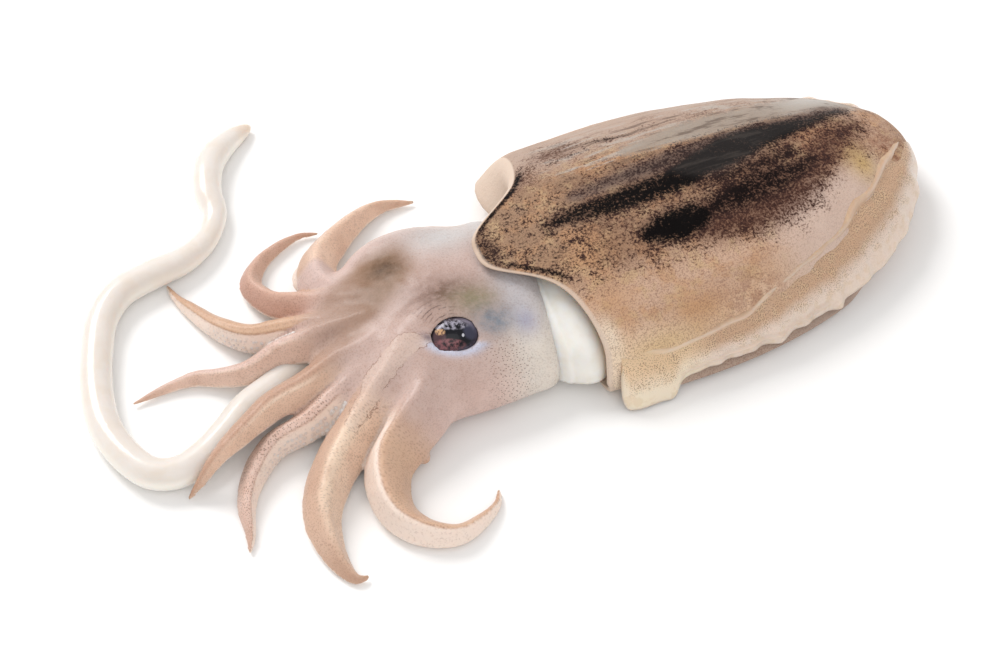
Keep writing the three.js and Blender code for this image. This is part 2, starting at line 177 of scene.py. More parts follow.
def rim_x(angle):
    y = body_point(np.full_like(angle, RIM_X), angle)[..., 1]
    lobe = LOBE_LENGTH / (1 + (np.abs(y - LOBE_CENTRE_Y) / LOBE_HALF_WIDTH) ** LOBE_SHOULDER)
    lip = LEFT_LIP * np.maximum(np.cos(angle), 0) ** LEFT_LIP_SHARPNESS
    waver = RIM_WAVER * np.sin(5 * angle + 0.6) * smooth(np.sin(angle), 0, 0.4)
    return RIM_X - np.where(np.sin(angle) > 0, lobe, 0) - lip + waver


def lumps(points, size, seed):
    """A smooth random field from -1 to 1 whose lumps are about the given size."""
    cell = points / size + seed * 17.3
    low = np.floor(cell)
    part = cell - low
    part = part * part * (3 - 2 * part)
    total = np.zeros(points.shape[:-1])
    for corner in itertools.product((0, 1), repeat=3):
        mixed = np.sin((low + corner) @ np.array([12.9898, 78.233, 37.719])) * 43758.5453
        weight = np.prod(np.where(corner, part, 1 - part), axis=-1)
        total += weight * (mixed - np.floor(mixed))
    return 2 * total - 1


def strip(points, route, softness):
    """How far a point lies in a strip along a route of (x, y, half width), 0 to 1 with a soft edge."""
    route = np.asarray(route, float)
    fine = np.linspace(0, len(route) - 1, 12 * len(route))
    x, y, half = (np.interp(fine, np.arange(len(route)), route[:, k]) for k in range(3))
    outside = np.hypot(points[:, :1] - x, points[:, 1:2] - y) - half
    return smooth(outside.min(axis=1), softness / 2, -softness / 2)


def strips(points, rows):
    return [strength * strip(points, route, softness) for strength, route, softness in rows]


def stain_and_highlight_spots(points, rows):
    return [strength * np.exp(-(((points - np.array(centre)) / reach) ** 2).sum(axis=-1))
            for strength, centre, reach in rows]


def closed_skin(rings, start, end):
    """Points, four-sided faces and end caps over a row of rings of equal count."""
    rows, count = rings.shape[:2]
    points = np.vstack([rings.reshape(-1, 3), start, end])
    at = np.arange(rows * count).reshape(rows, count)
    turned = np.roll(at, -1, axis=1)
    quads = np.stack([at[:-1], turned[:-1], turned[1:], at[1:]], -1).reshape(-1, 4)
    first = np.stack([np.full(count, rows * count), turned[0], at[0]], -1)
    last = np.stack([np.full(count, rows * count + 1), at[-1], turned[-1]], -1)
    return points, quads, np.vstack([first, last])


def placed(piece, node):
    """Puts a finished piece in the scene in place of its node of the frame."""
    bpy.context.scene.collection.objects.link(piece)
    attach(piece, "root")
    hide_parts(node)
    return piece


def flesh(name, points, faces, fields, material, node):
    """A smooth piece from points in millimetres, with its named fields of numbers for the material."""
    mesh = bpy.data.meshes.new(name)
    mesh.from_pydata((points * MM).tolist(), [], [face for part in faces for face in part.tolist()])
    mesh.shade_smooth()
    mesh.materials.append(material)
    for field, values in fields.items():
        kind, part = ("FLOAT", "value") if values.ndim == 1 else ("FLOAT_VECTOR", "vector")
        mesh.attributes.new(field, kind, "POINT").data.foreach_set(part, values.astype(np.float32).ravel())
    return placed(bpy.data.objects.new(name, mesh), node)


class Pattern:
    """One socket of a tree of nodes. Sums, differences and products of patterns add their Math nodes."""

    def __init__(self, tree, socket=None):
        self.tree = tree
        self.socket = socket

    def node(self, kind, settings, links, output=0):
        made = self.tree.nodes.new(kind)
        for key, value in settings.items():
            setattr(made, key, value)
        for key, value in links.items():
            if isinstance(value, Pattern):
                self.tree.links.new(value.socket, made.inputs[key])
            else:
                made.inputs[key].default_value = value
        return Pattern(self.tree, made.outputs[output])

    def maths(self, operation, *values):
        return self.node("ShaderNodeMath", {"operation": operation}, dict(enumerate(values)))

    def __add__(self, other):
        return self.maths("ADD", self, other)

    def __radd__(self, other):
        return self.maths("ADD", other, self)

    def __sub__(self, other):
        return self.maths("SUBTRACT", self, other)

    def __rsub__(self, other):
        return self.maths("SUBTRACT", other, self)

    def __mul__(self, other):
        return self.maths("MULTIPLY", self, other)

    def __rmul__(self, other):
        return self.maths("MULTIPLY", other, self)

    def between(self, start, end):
        return self.node("ShaderNodeMapRange", {"interpolation_type": "SMOOTHSTEP"},
                         {"Value": self, "From Min": start, "From Max": end})

    def blend(self, below, above):
        """The colour below where this pattern is 0, the colour above where it is 1."""
        return self.node("ShaderNodeMix", {"data_type": "RGBA"}, {0: self, 6: below, 7: above}, 2)

    def field(self, name, part="Fac"):
        return self.node("ShaderNodeAttribute", {"attribute_name": name}, {}, part)

    def place(self, stretch=(1, 1, 1), turn=0):
        """Object coordinates, stretched and turned about the upright axis."""
        where = self.node("ShaderNodeTexCoord", {}, {}, "Object")
        return self.node("ShaderNodeMapping", {},
                         {"Vector": where, "Rotation": (0, 0, turn), "Scale": stretch})

    def cloud(self, size, detail=2, rough=0.55, where=None):
        """Soft noise about 0.5 with lumps of the given size in millimetres."""
        return self.node("ShaderNodeTexNoise", {}, {"Vector": where or self.place(), "Scale": 1 / (size * MM),
                                                    "Detail": detail, "Roughness": rough})

    def dots(self, spacing, radius, softness):
        """Round dots on a scattered grid over the unrolled skin; the radius is a share of the spacing."""
        where = self.field("unrolled", "Vector")
        reach = self.node("ShaderNodeTexVoronoi", {"feature": "F1", "voronoi_dimensions": "2D"},
                          {"Vector": where, "Scale": 1 / spacing, "Randomness": 0.85}, "Distance")
        return 1 - (reach - radius).between(-softness, softness)


def tone(red, green, blue):
    """The light that a surface has to give back to show a screen colour of 0 to 255 in this scene."""
    linear = [((c / 255 + 0.055) / 1.055) ** 2.4 if c > 10 else c / 255 / 12.92 for c in (red, green, blue)]
    return tuple(c / LIGHT for c in linear) + (1,)


def layered(colour, layers):
    """A colour with others laid over it in turn, as (pattern, screen colour or pattern of colour)."""
    for where, above in layers:
        colour = where.blend(colour, above if isinstance(above, Pattern) else tone(*above))
    return colour


def soaked(weight, radius, scale, coat, coat_roughness):
    """What the shader of wet flesh keeps constant: the light that passes through it and its film of water."""
    return {"Subsurface Weight": weight, "Subsurface Radius": radius, "Subsurface Scale": scale,
            "Coat Weight": coat, "Coat Roughness": coat_roughness, "IOR": FLESH_IOR}


def wet_skin(name, paint, constants):
    """A material on Principled; paint gets a Pattern and gives base colour, roughness and relief in mm."""
    material = bpy.data.materials.new(name)
    material.use_nodes = True
    tree = material.node_tree
    shader = tree.nodes["Principled BSDF"]
    for socket, value in constants.items():
        shader.inputs[socket].default_value = value
    colour, roughness, relief = paint(Pattern(tree))
    normal = relief.node("ShaderNodeBump", {}, {"Height": relief, "Distance": MM, "Strength": 1.0})
    for socket, pattern in (("Base Color", colour), ("Roughness", roughness), ("Normal", normal)):
        tree.links.new(pattern.socket, shader.inputs[socket])
    return material


def mantle_paint(skin):
    streaks = skin.cloud(2.4, 4, 0.65, skin.place((0.13, 1, 1), math.radians(-9)))
    grain = skin.cloud(0.65, 3, 0.78)
    clumps = skin.cloud(2.6, 4, 0.75)
    patches = skin.cloud(9, 4, 0.65)
    ink, brown, far, slate = (skin.field(name) for name in ("ink", "brown", "far", "slate"))
    mottle = (grain - 0.5) * 2.5 + (clumps - 0.5) * 1.7 + (patches - 0.5)
    freckles = skin.cloud(0.42, 2, 0.7).between(0.46, 0.64) * skin.field("dots")
    wash = (brown + mottle * 0.85 + (streaks - 0.5) * 0.4).between(0.25, 0.95)
    grey = (skin.field("grey") + mottle * 0.4).between(0.2, 0.9)
    blot = (ink + mottle * (1 - 0.3 * slate) + (streaks - 0.5) * 0.8).between(0.3, 0.95)
    black = slate.blend(tone(8, 4, 4), tone(40, 36, 35))
    black = ink.between(0.5, 0.95).blend(tone(56, 36, 33), black)
    sheen = slate * streaks.between(0.5, 0.64) * ink.between(0.5, 0.9)
    colour = layered(skin.field("flank").blend(tone(168, 136, 110), tone(215, 179, 154)), [
        (patches.between(0.46, 0.62) * 0.6, (204, 156, 116)),
        (skin.cloud(5, 3, 0.6).between(0.5, 0.66) * 0.6, (212, 180, 140)),
        (skin.field("orange"), (206, 158, 116)),
        (skin.field("low"), (255, 224, 194)),
        (skin.field("pale"), (224, 198, 184)),
        (skin.field("front"), (255, 234, 210)),
        # The far side's darker tone, also used as painted shade on the belly under the near fin.
        (skin.field("far_side"), (180, 158, 144)),
        (skin.field("rust") * clumps.between(0.4, 0.58), (156, 106, 82)),
        (skin.field("olive"), (208, 174, 118)),
        (freckles * 0.5, (122, 86, 74)),
        (brown.between(0.25, 1.0) * 0.75, (118, 84, 68)),
        (wash * brown.between(0, 0.2), (92, 61, 50)),
        # Painted highlight: pale glossy streaks along the far top.
        (far * streaks.between(0.52, 0.62) * 0.6, (196, 187, 178)),
        (grey * 0.85, (168, 155, 143)),
        # Painted highlight: a pale spot on the far top of the back.
        (skin.field("white"), (204, 198, 192)),
        (far * (1 - streaks.between(0.36, 0.46)) * 0.6, (92, 74, 64)),
        (slate * 0.65, (112, 98, 94)),
        (ink.between(0.3, 1.0) * 0.6, (74, 52, 45)),
        (blot * ink.between(0.03, 0.25), black),
        (sheen * 0.35, (84, 76, 71)),
        (skin.field("ivory"), (228, 206, 188)),
    ])
    return colour, 0.5 - 0.14 * slate + 0.16 * grain, 0.08 * grain + 0.14 * clumps + 0.2 * skin.cloud(3.5, 2)


def make_mantle():
    angles = np.linspace(0, 2 * math.pi, MANTLE_SIDES, endpoint=False)
    rim = rim_x(angles)
    ear = smooth(np.cos(angles - EAR_TURN), 0.2, 0.85)
    wall = 1 - WALL_SCALE + EAR_WALL * ear
    rounding = LIP_ROUNDING + EAR_ROUNDING * ear
    start_x = rim + rounding

    def inwards(points, depth):
        points[:, 1] *= 1 - depth * wall
        points[:, 2] -= depth * wall * (points[:, 2] - POCKET_AXIS_Z)
        return points

    front = []
    for out_of in np.linspace(0, 1, POCKET_RINGS, endpoint=False):
        front.append(inwards(body_point(POCKET_X + (start_x - POCKET_X) * out_of, angles), 1))
    for bend in np.linspace(0, math.pi, LIP_RINGS):
        outer = body_point(rim + rounding * (1 - math.sin(bend)), angles)
        front.append(inwards(outer, (1 + math.cos(bend)) / 2))
    steps = np.sin(np.linspace(0, math.pi / 2, MANTLE_RINGS)) ** 1.15
    back = body_point(start_x + (TAIL_X - start_x) * (0.004 + 0.994 * steps)[:, None], angles)
    from_rim = np.vstack([np.full((len(front), MANTLE_SIDES), -1.0), back[..., 0] - start_x])
    from_rim = np.append(from_rim.ravel(), [-1, TAIL_X])
    rings = swayed(np.concatenate([np.array(front), back]))
    start = np.array([POCKET_X, 0, POCKET_AXIS_Z])
    points, quads, caps = closed_skin(rings, start, swayed(np.array([TAIL_X, 0.0, TAIL_Z])))
    x, y, z = points.T
    bulge = bell(z, BELLY_BULGE_Z, 2.4) * smooth(np.abs(y), 20, 34) * span(x, -36, -27, 26, 52)
    z -= FAR_SAG * smooth(-x, 40, 50) * smooth(y, 12, 26) * smooth(z, 3, 12)
    y += BELLY_BULGE * np.sign(y) * bulge
    outward = unit(points - np.column_stack([x, np.zeros_like(x), np.full_like(x, 8)]))
    relief = 0.4 * lumps(points, 9, 1) + 0.16 * lumps(points, 3.4, 2)
    points = points + outward * (relief * smooth(z, 4, 9) * smooth(from_rim, 1, 8))[:, None]

    y = points[:, 1]
    far_rim = bell(from_rim, 1.4, 1.6) * span(y, 2, 7, 20, 26)
    near_rim = bell(from_rim, 3.2, 1.8) * span(y, -24, -16, -9, -5)
    over_back = smooth(-2 - y + 13 * smooth(x, 14, 38), 30, 16) * smooth(y + 2, 20, 11)
    over_back *= 1 - 0.6 * smooth(x, 42, 54)
    ink = np.maximum.reduce([
        *strips(points, INK_STRIPS), *stain_and_highlight_spots(points, INK_STAINS), 0.9 * near_rim, far_rim,
        (0.36 - 0.1 * smooth(x, -40, -30)) * over_back])
    brown = np.maximum.reduce([
        *strips(points, BROWN_STRIPS), *stain_and_highlight_spots(points, BROWN_STAINS), 0.7 * far_rim,
        (0.26 + 0.26 * smooth(x, -48, -34)) * over_back, 0.55 * smooth(x, -57, -63) * over_back,
        0.28 * span(y, 4, 10, 20, 34), 0.5 * smooth(y, 37, 40) * smooth(z, 5, 14)])
    pink_line = -19 + 0.3 * (x - 8)
    rear_pink = span(x, -2, 22, 46, 54) * smooth(y, pink_line + 5, pink_line - 4)
    far_flank = smooth(y, 33, 39)
    far_pale = smooth(y, 18, 30) * (1 - far_flank)
    far_side = smooth(y, 13, 22) * smooth(z, 5, 11) * (1 - far_flank)
    belly = smooth(z, 7, 2) * smooth(y, -30, -20)
    # Painted shade on the belly strip under the near fin.
    shade_under_near_fin = smooth(z, 8, 4) * smooth(y, -30, -38) * smooth(x, -40, -34)
    near_lip = smooth(from_rim, 0.9, 0.2) * smooth(y, 6, -1)
    ear_skin = smooth(x, RIM_X + 0.5, RIM_X - 2.5) * smooth(y, 25, 31)
    near_front = smooth(from_rim, 6, 2) * smooth(y, -28, -36)
    by_ridge = smooth(y, -18, -26) * smooth(z - np.interp(x, RIDGE_X, RIDGE_Z), 8, 0)
    inside = from_rim < 0
    fields = {
        "flank": np.maximum(smooth(np.abs(y + 2), 13, 27), 0.6 * smooth(x, 40, 52)),
        "far_side": np.maximum(0.75 * far_side, 0.85 * shade_under_near_fin),
        "far": smooth(y, 8, 14) * (1 - 0.7 * smooth(y, 24, 34)) * smooth(x, -44, -34),
        "low": by_ridge * (0.35 + 0.65 * smooth(x, -16, -30)),
        "orange": sum(stain_and_highlight_spots(points, ORANGE_STAINS)).clip(0, 1),
        # A painted highlight on the far top of the back.
        "white": sum(stain_and_highlight_spots(points, WHITE_HIGHLIGHT_SPOTS)),
        "pale": np.maximum.reduce([0.85 * rear_pink, 0.5 * far_pale, 0.8 * belly]),
        "front": 0.85 * near_front,
        "grey": strip(points, GREY_STRIP, 6),
        "rust": sum(stain_and_highlight_spots(points, RUST_STAINS)).clip(0, 1),
        "olive": np.maximum(*stain_and_highlight_spots(points, OLIVE_STAINS)),
        "dots": np.clip(1 - 0.6 * rear_pink - 0.8 * far_pale - belly, 0, 1),
        "ink": np.where(inside, 0, ink),
        "brown": np.where(inside, 0, brown),
        "slate": strip(points, SLATE_PATCH, 4),
        "ivory": np.maximum.reduce([0.75 * near_lip, ear_skin, inside * smooth(y, -1, 6), 0.6 * inside]),
    }
    skin = wet_skin("mantle skin", mantle_paint,
                    soaked(0.03, (1.0, 0.5, 0.3), 0.002, 0.02, 0.2) | {"Specular IOR Level": 0.08})
    flesh("mantle_sac", points, (quads, caps), fields, skin, "mantle")


make_mantle()


# Fins
# A thin muscular skirt of skin along each flank, grown out of the mantle at a pale raised ridge. Its free
# edge is translucent and wavy, and in front it ends in a loose rounded lobe. Both fins are one flesh with
# the mantle.
FIN_FRONT_X = -42
FIN_EDGE_X = [-42, -39.6, -33.4, -28.8, -26.6, -21.5, -4.6, 9.5, 22, 38, 49, 60, 66.5]
FIN_OVERHANG = [4.2, 5.6, 5.9, 5.4, 3.4, 3, 3, 3.2, 3.6, 4.4, 3.8, 2, 0.9]
FIN_EDGE_Z = [1, 1, 1, 1.2, 3.2, 4.4, 4.8, 5.2, 6, 8, 9.6, 10.4, 10]
FIN_POINTS = [3, 22]
FIN_POINT = 1.1
FIN_ROOT_X = [-42, -33, -20, -9, 4, 18, 29, 35, 45, 55, 66.5]
FIN_ROOT_ANGLES = {1: [16, 15, 14, 14, 14, 14, 14, 15, 18, 24, 40],
                   -1: [19, 15.5, 15, 18, 26, 35, 39, 48, 54, 68, 84]}
FIN_ROOT_SETBACK = 7
FIN_ROOT_DEPTH = 3
FIN_ROOT_SINK = 1.4
FIN_ROOT_THICKNESS = 2
FIN_EDGE_THICKNESS = 1
FIN_CROWN = 0.9
FIN_RIDGE = 0.65
FIN_RIDGE_AT = 0.3
FIN_FOLD = 0.8
FIN_FOLD_INSET = 2.4
FIN_RIPPLE = 0.4
FIN_LOWEST = 0.3
FIN_STATIONS = 420
FIN_ROWS = 30
FIN_FRONT_SHARE = 0.22
FIN_NOSE_SHARE = 0.03
FIN_FRONT_LEAN = 2.6
FIN_LAST_TURN = math.radians(87)


def through(stations, values, x):
    """A smooth function of x through a few rising stations."""
    stations, values = np.array(stations, float), np.array(values, float)
    slope = np.gradient(values, stations)
    k = np.clip(np.searchsorted(stations, x) - 1, 0, len(stations) - 2)
    step = stations[k + 1] - stations[k]
    t = np.clip((x - stations[k]) / step, 0, 1)
    start = (1 + 2 * t) * (1 - t) ** 2 * values[k] + t * (1 - t) ** 2 * step * slope[k]
    return start + t * t * (3 - 2 * t) * values[k + 1] + t * t * (t - 1) * step * slope[k + 1]


def fin_paint(skin):
    fringe, lobe = skin.field("fringe"), skin.field("lobe")
    grain = skin.cloud(0.6, 3, 0.65)
    clumps = skin.cloud(3, 3, 0.6)
    cream = fringe.between(0.35, 0.8).blend(tone(240, 206, 166), tone(252, 234, 208))
    freckles = skin.dots(0.52, 0.2 + 0.6 * (clumps - 0.5), 0.15) * skin.field("dots")
    colour = layered(fringe.between(0.45, 0.74).blend(tone(212, 174, 142), tone(243, 222, 206)), [
        (lobe * 0.9, cream),
        (clumps.between(0.5, 0.62) * 0.35, (230, 200, 162)),
        (grain.between(0.3, 0.75) * (1 - lobe) * 0.14, (170, 128, 100)),
        (freckles * 0.75, (108, 74, 52)),
        # The pale ridge and fold, and a painted highlight along the fin's free edge.
        (skin.field("ridge_fold_and_rim_highlight") * 0.7, (236, 212, 194)),
    ])
    return colour, 0.36 + 0.12 * grain, 0.06 * grain + 0.1 * clumps


def make_fin(name, side):
    along = (np.arange(FIN_STATIONS) + 0.5) / FIN_STATIONS
    sweep = np.clip((along - FIN_FRONT_SHARE) / (1 - FIN_FRONT_SHARE), 0, 1)
    curl = np.sin(sweep * FIN_LAST_TURN)
    front = FIN_FRONT_X + (WIDEST_X - FIN_FRONT_X) * along / FIN_FRONT_SHARE
    x = np.where(sweep > 0, WIDEST_X + (TAIL_X - WIDEST_X) * curl, front)
    fall = (body_half_width(x - 0.05) - body_half_width(x + 0.05)) / 0.1
    outward = unit(np.stack([fall, np.ones_like(x), np.zeros_like(x)], -1))
    root_x = x - FIN_ROOT_SETBACK * curl ** 4
    wander = 0.9 * np.sin(root_x / 3.4) + 0.5 * np.sin(root_x / 1.9 + 1)
    root = body_point(root_x, np.radians(through(FIN_ROOT_X, FIN_ROOT_ANGLES[side], root_x) + wander))
    point = sum(bell(x, place, 2.2) for place in FIN_POINTS)
    overhang = through(FIN_EDGE_X, FIN_OVERHANG, x) + FIN_POINT * point
    edge = np.stack([x, body_half_width(x), np.zeros_like(x)], -1) + outward * overhang[:, None]
    edge[:, 2] = through(FIN_EDGE_X, FIN_EDGE_Z, x) - 0.5 * point
    edge[:, 0] -= FIN_FRONT_LEAN * smooth(x, FIN_FRONT_X + 10, FIN_FRONT_X)
    nose = np.clip(1 - along / FIN_NOSE_SHARE, 0, 1)
    tip = root + (edge - root) * np.cbrt(1 - nose ** 3)[:, None]
    chord = tip - root
    length = np.linalg.norm(chord, axis=1)[:, None]
    seat = root - chord / length * FIN_ROOT_DEPTH
    up = unit(np.cross(np.stack([outward[:, 1], -outward[:, 0], np.zeros_like(x)], -1), chord))

    share = np.linspace(0, 1, FIN_ROWS) ** 0.9
    from_root = share * (length + FIN_ROOT_DEPTH) - FIN_ROOT_DEPTH
    half = 0.5 * (FIN_ROOT_THICKNESS + (FIN_EDGE_THICKNESS - FIN_ROOT_THICKNESS) * share)
    half = half * np.sqrt(np.clip(1 - share ** 16, 0.03, 1))
    behind_front = smooth(x, -37, -30)[:, None]
    rise = smooth(from_root, -0.6, 7)
    sunk = FIN_ROOT_SINK * smooth(from_root, -0.1, -2.4)
    knobs = (0.7 + 0.3 * np.sin(x / 1.3))[:, None]
    bead = FIN_RIDGE * bell(from_root, FIN_RIDGE_AT, 0.5) * knobs * behind_front
    fold = FIN_FOLD * bell(length - from_root, FIN_FOLD_INSET, 0.45) * span(x, -29, -26, 14, 24)[:, None]
    waves = np.sin(2 * math.pi * x / 9.3) + 0.7 * np.sin(2 * math.pi * x / 5.3 + 1)
    ripple = FIN_RIPPLE * share ** 2 * (waves * smooth(x, -30, -18))[:, None]
    middle = FIN_CROWN * np.sin(math.pi * share) + ripple
    flat = seat[:, None] + (tip - seat)[:, None] * share[:, None]
    lower = flat + up[:, None] * (middle * rise - half - sunk)[..., None]
    upper = flat + up[:, None] * ((middle + half) * rise - sunk + bead + fold)[..., None]

    def around(below, above):
        """Rings from the fin's root out along its underside and back over its top, turned for its side."""
        ring = np.concatenate([below, above[:, ::-1]], axis=1)
        return ring if side > 0 else ring[:, ::-1]

    def spread(values):
        values = np.clip(np.broadcast_to(values, from_root.shape), 0, 1)
        return np.append(around(values, values).ravel(), [0, 0])

    rings = around(lower, upper)
    rings[..., 1] *= side
    rings[..., 2] = np.maximum(rings[..., 2], FIN_LOWEST)
    rings = swayed(rings)
    points, quads, caps = closed_skin(rings, rings[0].mean(axis=0), rings[-1].mean(axis=0))
    flat_skin = np.stack([np.broadcast_to(x[:, None], from_root.shape), from_root, 0 * from_root], -1)
    # A painted highlight along the fin's translucent free edge.
    rim_highlight = 0.8 * np.maximum(0, share - 0.95) * 20
    fields = {
        "unrolled": np.vstack([around(flat_skin, flat_skin).reshape(-1, 3), np.zeros((2, 3))]),
        "fringe": spread(share),
        "ridge_fold_and_rim_highlight": spread(bell(from_root, FIN_RIDGE_AT, 0.45) * behind_front + rim_highlight + 2 * fold),
        "dots": spread(smooth(from_root, 0.5, 1.2) * smooth(share, 0.85, 0.6)),
        "lobe": spread(smooth(x, -14, -26)[:, None]),
    }
    flesh(name, points, (quads, caps), fields, fin_skin, "mantle")


fin_skin = wet_skin("fin skin", fin_paint, soaked(0.25, (1.0, 0.6, 0.4), 0.003, 0.3, 0.18))
make_fin("fin_left", 1)
make_fin("fin_right", -1)


# Neck collar
# A smooth ring of bare ivory muscle that fills the mantle's opening and narrows forwards to the head. It is
# wet and a little see-through, with a soft fold that follows the mantle's lip.
COLLAR_X = [-61, -57.5, -55, -52.5, -50, -46.5, -42.5]
COLLAR_HALF_WIDTH = [23.5, 25.8, 28, 31.5, 34.6, 36.8, 35]
COLLAR_TOP = [18.5, 20.5, 22, 23, 23.6, 23.4, 21]
COLLAR_CENTRE_Y = [-7, -6.9, -6.6, -5, -3.2, -1.2, -0.6]
COLLAR_FAR_SHARE = 0.72
COLLAR_FOLD = 0.02
COLLAR_FOLD_X = -54.6
COLLAR_AXIS_Z = 9
COLLAR_FLANK_Z = 7.5
COLLAR_FOOT_Z = 1
ROUND_ABOVE = 0.9
FLAT_BELOW = 0.62
COLLAR_SIDES = 180
COLLAR_RINGS = 60


def cross_section(x, angle, half_width, top, flank, foot, centre):
    """Points of a round upper half on a flatter underside, one ring for each x."""
    up = np.sin(angle)
    power = np.where(up < 0, FLAT_BELOW, ROUND_ABOVE)
    reach = np.where(up < 0, (flank - foot)[:, None], (top - flank)[:, None])
    y = centre[:, None] + half_width[:, None] * signed_power(np.cos(angle), power)
    z = flank[:, None] + reach * signed_power(up, power)
    return np.stack([np.broadcast_to(x[:, None], y.shape), y, z], -1)


def collar_paint(skin):
    cloud = skin.cloud(6, 3, 0.6)
    ivory = cloud.between(0.35, 0.7).blend(tone(252, 249, 243), tone(247, 240, 229))
    return layered(ivory, [(skin.field("shade"), (252, 240, 224))]), 0.2 + 0.12 * cloud, 0.1 * cloud


def make_collar():
    angles = np.linspace(0, 2 * math.pi, COLLAR_SIDES, endpoint=False)
    x = np.linspace(COLLAR_X[0], COLLAR_X[-1], COLLAR_RINGS)
    sizes = (COLLAR_HALF_WIDTH, COLLAR_TOP, COLLAR_CENTRE_Y)
    half_width, top, centre = (through(COLLAR_X, size, x) for size in sizes)
    flank, foot = np.full_like(x, COLLAR_FLANK_Z), np.full_like(x, COLLAR_FOOT_Z)
    fold = 1 + COLLAR_FOLD * bell(x, COLLAR_FOLD_X, 1)
    rings = cross_section(x, angles, half_width * fold, top * fold, flank, foot, centre)
    rings[..., 1] *= np.where(rings[..., 1] > 0, COLLAR_FAR_SHARE, 1)
    ends = [np.array([x[k], centre[k], COLLAR_AXIS_Z]) for k in (0, -1)]
    points, quads, caps = closed_skin(rings, *ends)
    fields = {"shade": smooth(points[:, 0], -48.5, -45)}
    muscle = wet_skin("collar muscle", collar_paint, soaked(0.75, (1.0, 0.8, 0.6), 0.006, 0.6, 0.08))
    flesh("neck_collar_muscle", points, (quads, caps), fields, muscle, "neck_collar")


make_collar()


# Head and arms
# One piece of flesh: a soft block of a head with a bulge round each eye, and eight keeled arms that grow out
# of its front with short webs between them. The skin is thin, wet and dotted, with stains where it has rubbed
# off, and bare on the sucker side of the arms.
HEAD_X = [-113, -107, -100, -92, -82, -73, -64, -57.5, -55]
HEAD_HALF_WIDTH = [10, 20, 25.5, 28.4, 30, 29.8, 28.6, 27, 24.5]
HEAD_TOP = [11, 15.5, 19.5, 22.6, 24.2, 24, 22.8, 20.5, 18]
HEAD_CENTRE_Y = [-8, -8, -7, -5.6, -5.2, -5.6, -6.3, -6.8, -7.2]
HEAD_FLANK_Z = 7.5
HEAD_SIDES = 96
HEAD_RINGS = 80
FOOT_Z = 0.3
NECK_HUMP = ((-59, -5, 11), (12, 22, 13.2))
NECK_BLEND = 5
ARM_ORIGIN = (-85, -6, 9)
# Each arm's radius at its root, how late it tapers, and its route over the table
ARMS = {
    "A": (6.3, 1.7, [(-98, 6, 12), (-104, 18, 9), (-101, 30, 6.2), (-94, 37, 4.5), (-85, 43, 3.5),
                     (-77, 46, 2.3), (-67, 45, 1.2)]),
    "B": (5.4, 1.2, [(-100, 4, 13), (-110, 14, 8.8), (-117, 22, 5), (-120, 32, 3.3), (-115, 39, 2.6),
                     (-108, 43, 2.1), (-101, 45, 1.6), (-96, 44, 1.2)]),
    "C": (6.8, 1.5, [(-104, 0, 11), (-117, 8, 7), (-127, 12.5, 5), (-133, 19.5, 4), (-137, 28, 2.8),
                     (-140, 36, 1.8), (-141, 42, 1.2)]),
    "D": (5.8, 1.1, [(-103, -3, 14), (-114, 0, 11), (-122, 2, 8.4), (-131, 1.5, 5.4), (-138, 4, 3.7),
                     (-144, 7, 2.6), (-151, 7.5, 1.8), (-162, 6, 1.1)]),
    "E": (5.8, 1.6, [(-102, -11, 14), (-111, -11, 12), (-120, -13, 10.3), (-130, -15, 10), (-139, -20, 10.3),
                     (-148, -25, 9.6), (-154, -27.5, 4.6), (-158, -29, 1.1)]),
    "F": (5.8, 2.0, [(-104, -17, 11), (-114, -19, 8.2), (-123, -22, 5.8), (-133, -24, 4.6), (-141, -31, 3.3),
                     (-145, -38, 2.5), (-147, -46, 1.6), (-149, -51, 1.1)]),
    "G": (6.8, 2.6, [(-97, -19, 14), (-106, -25, 10), (-115, -31, 6.5), (-124, -40, 4.8), (-129, -49, 4.4),
                     (-130, -58, 3.2), (-129, -65, 1.9), (-127, -69, 1.4), (-124, -69, 1.2)]),
    "H": (8.4, 1.3, [(-93, -29, 11), (-102, -36, 8.3), (-109, -42, 6.5), (-112, -51, 5.6), (-111, -58, 4.5),
                     (-106, -64, 3.5), (-99, -67, 3), (-92, -65, 2.3), (-86, -61, 1.6), (-84, -57, 1.2)]),
}
# Each arm's keel height, the angles of its keel and of the middle of its sucker side in degrees from its left
# over its top, how light and how wide its keel line is painted (pale skin with a painted highlight on the
# ridge), and how thickly it is dotted
ARM_MARKS = {"A": (0.1, 90, -90, 0, 0.1, 0.05), "B": (0.12, 90, -90, 0, 0.1, 0.15),
             "C": (0.04, 70, -12, 0, 0.1, 0.05), "D": (0.2, 72, -90, 0.6, 0.12, 0.2),
             "E": (0.22, 64, -90, 0.7, 0.13, 0.15), "F": (0.04, 90, -8, 0, 0.1, 0.75),
             "G": (0.24, 78, -90, 0.9, 0.32, 0.2), "H": (0.14, 110, 175, 0.8, 0.14, 0.15)}
# The screen colours of each arm's left side, keel line (pale skin with a painted highlight) and right side,
# and over how many degrees they blend
ARM_TONES = {"A": ((224, 190, 168), (226, 192, 170), (250, 217, 194), 60),
             "B": ((210, 169, 152), (218, 182, 164), (226, 190, 170), 50),
             "C": ((217, 181, 153), (213, 175, 147), (217, 179, 151), 30),
             "D": ((240, 208, 190), (252, 228, 212), (227, 196, 184), 10),
             "E": ((244, 210, 186), (255, 230, 208), (204, 166, 144), 10),
             "F": ((234, 204, 190), (232, 202, 188), (230, 199, 184), 30),
             "G": ((248, 219, 196), (252, 228, 204), (222, 187, 164), 22),
             "H": ((224, 187, 160), (252, 224, 204), (236, 206, 188), 20)}
ARM_TIP_RADIUS = 0.5
ARM_FLATNESS = 0.9
ARM_FACETS = 1.25
ARM_SIDES_LOW = 0.35
ARM_FULLER = 1.05
ARM_SIDES = 48
ARM_STEPS = 130
WEB_BLEND = 4.5
ARM_BLEND = 0.6
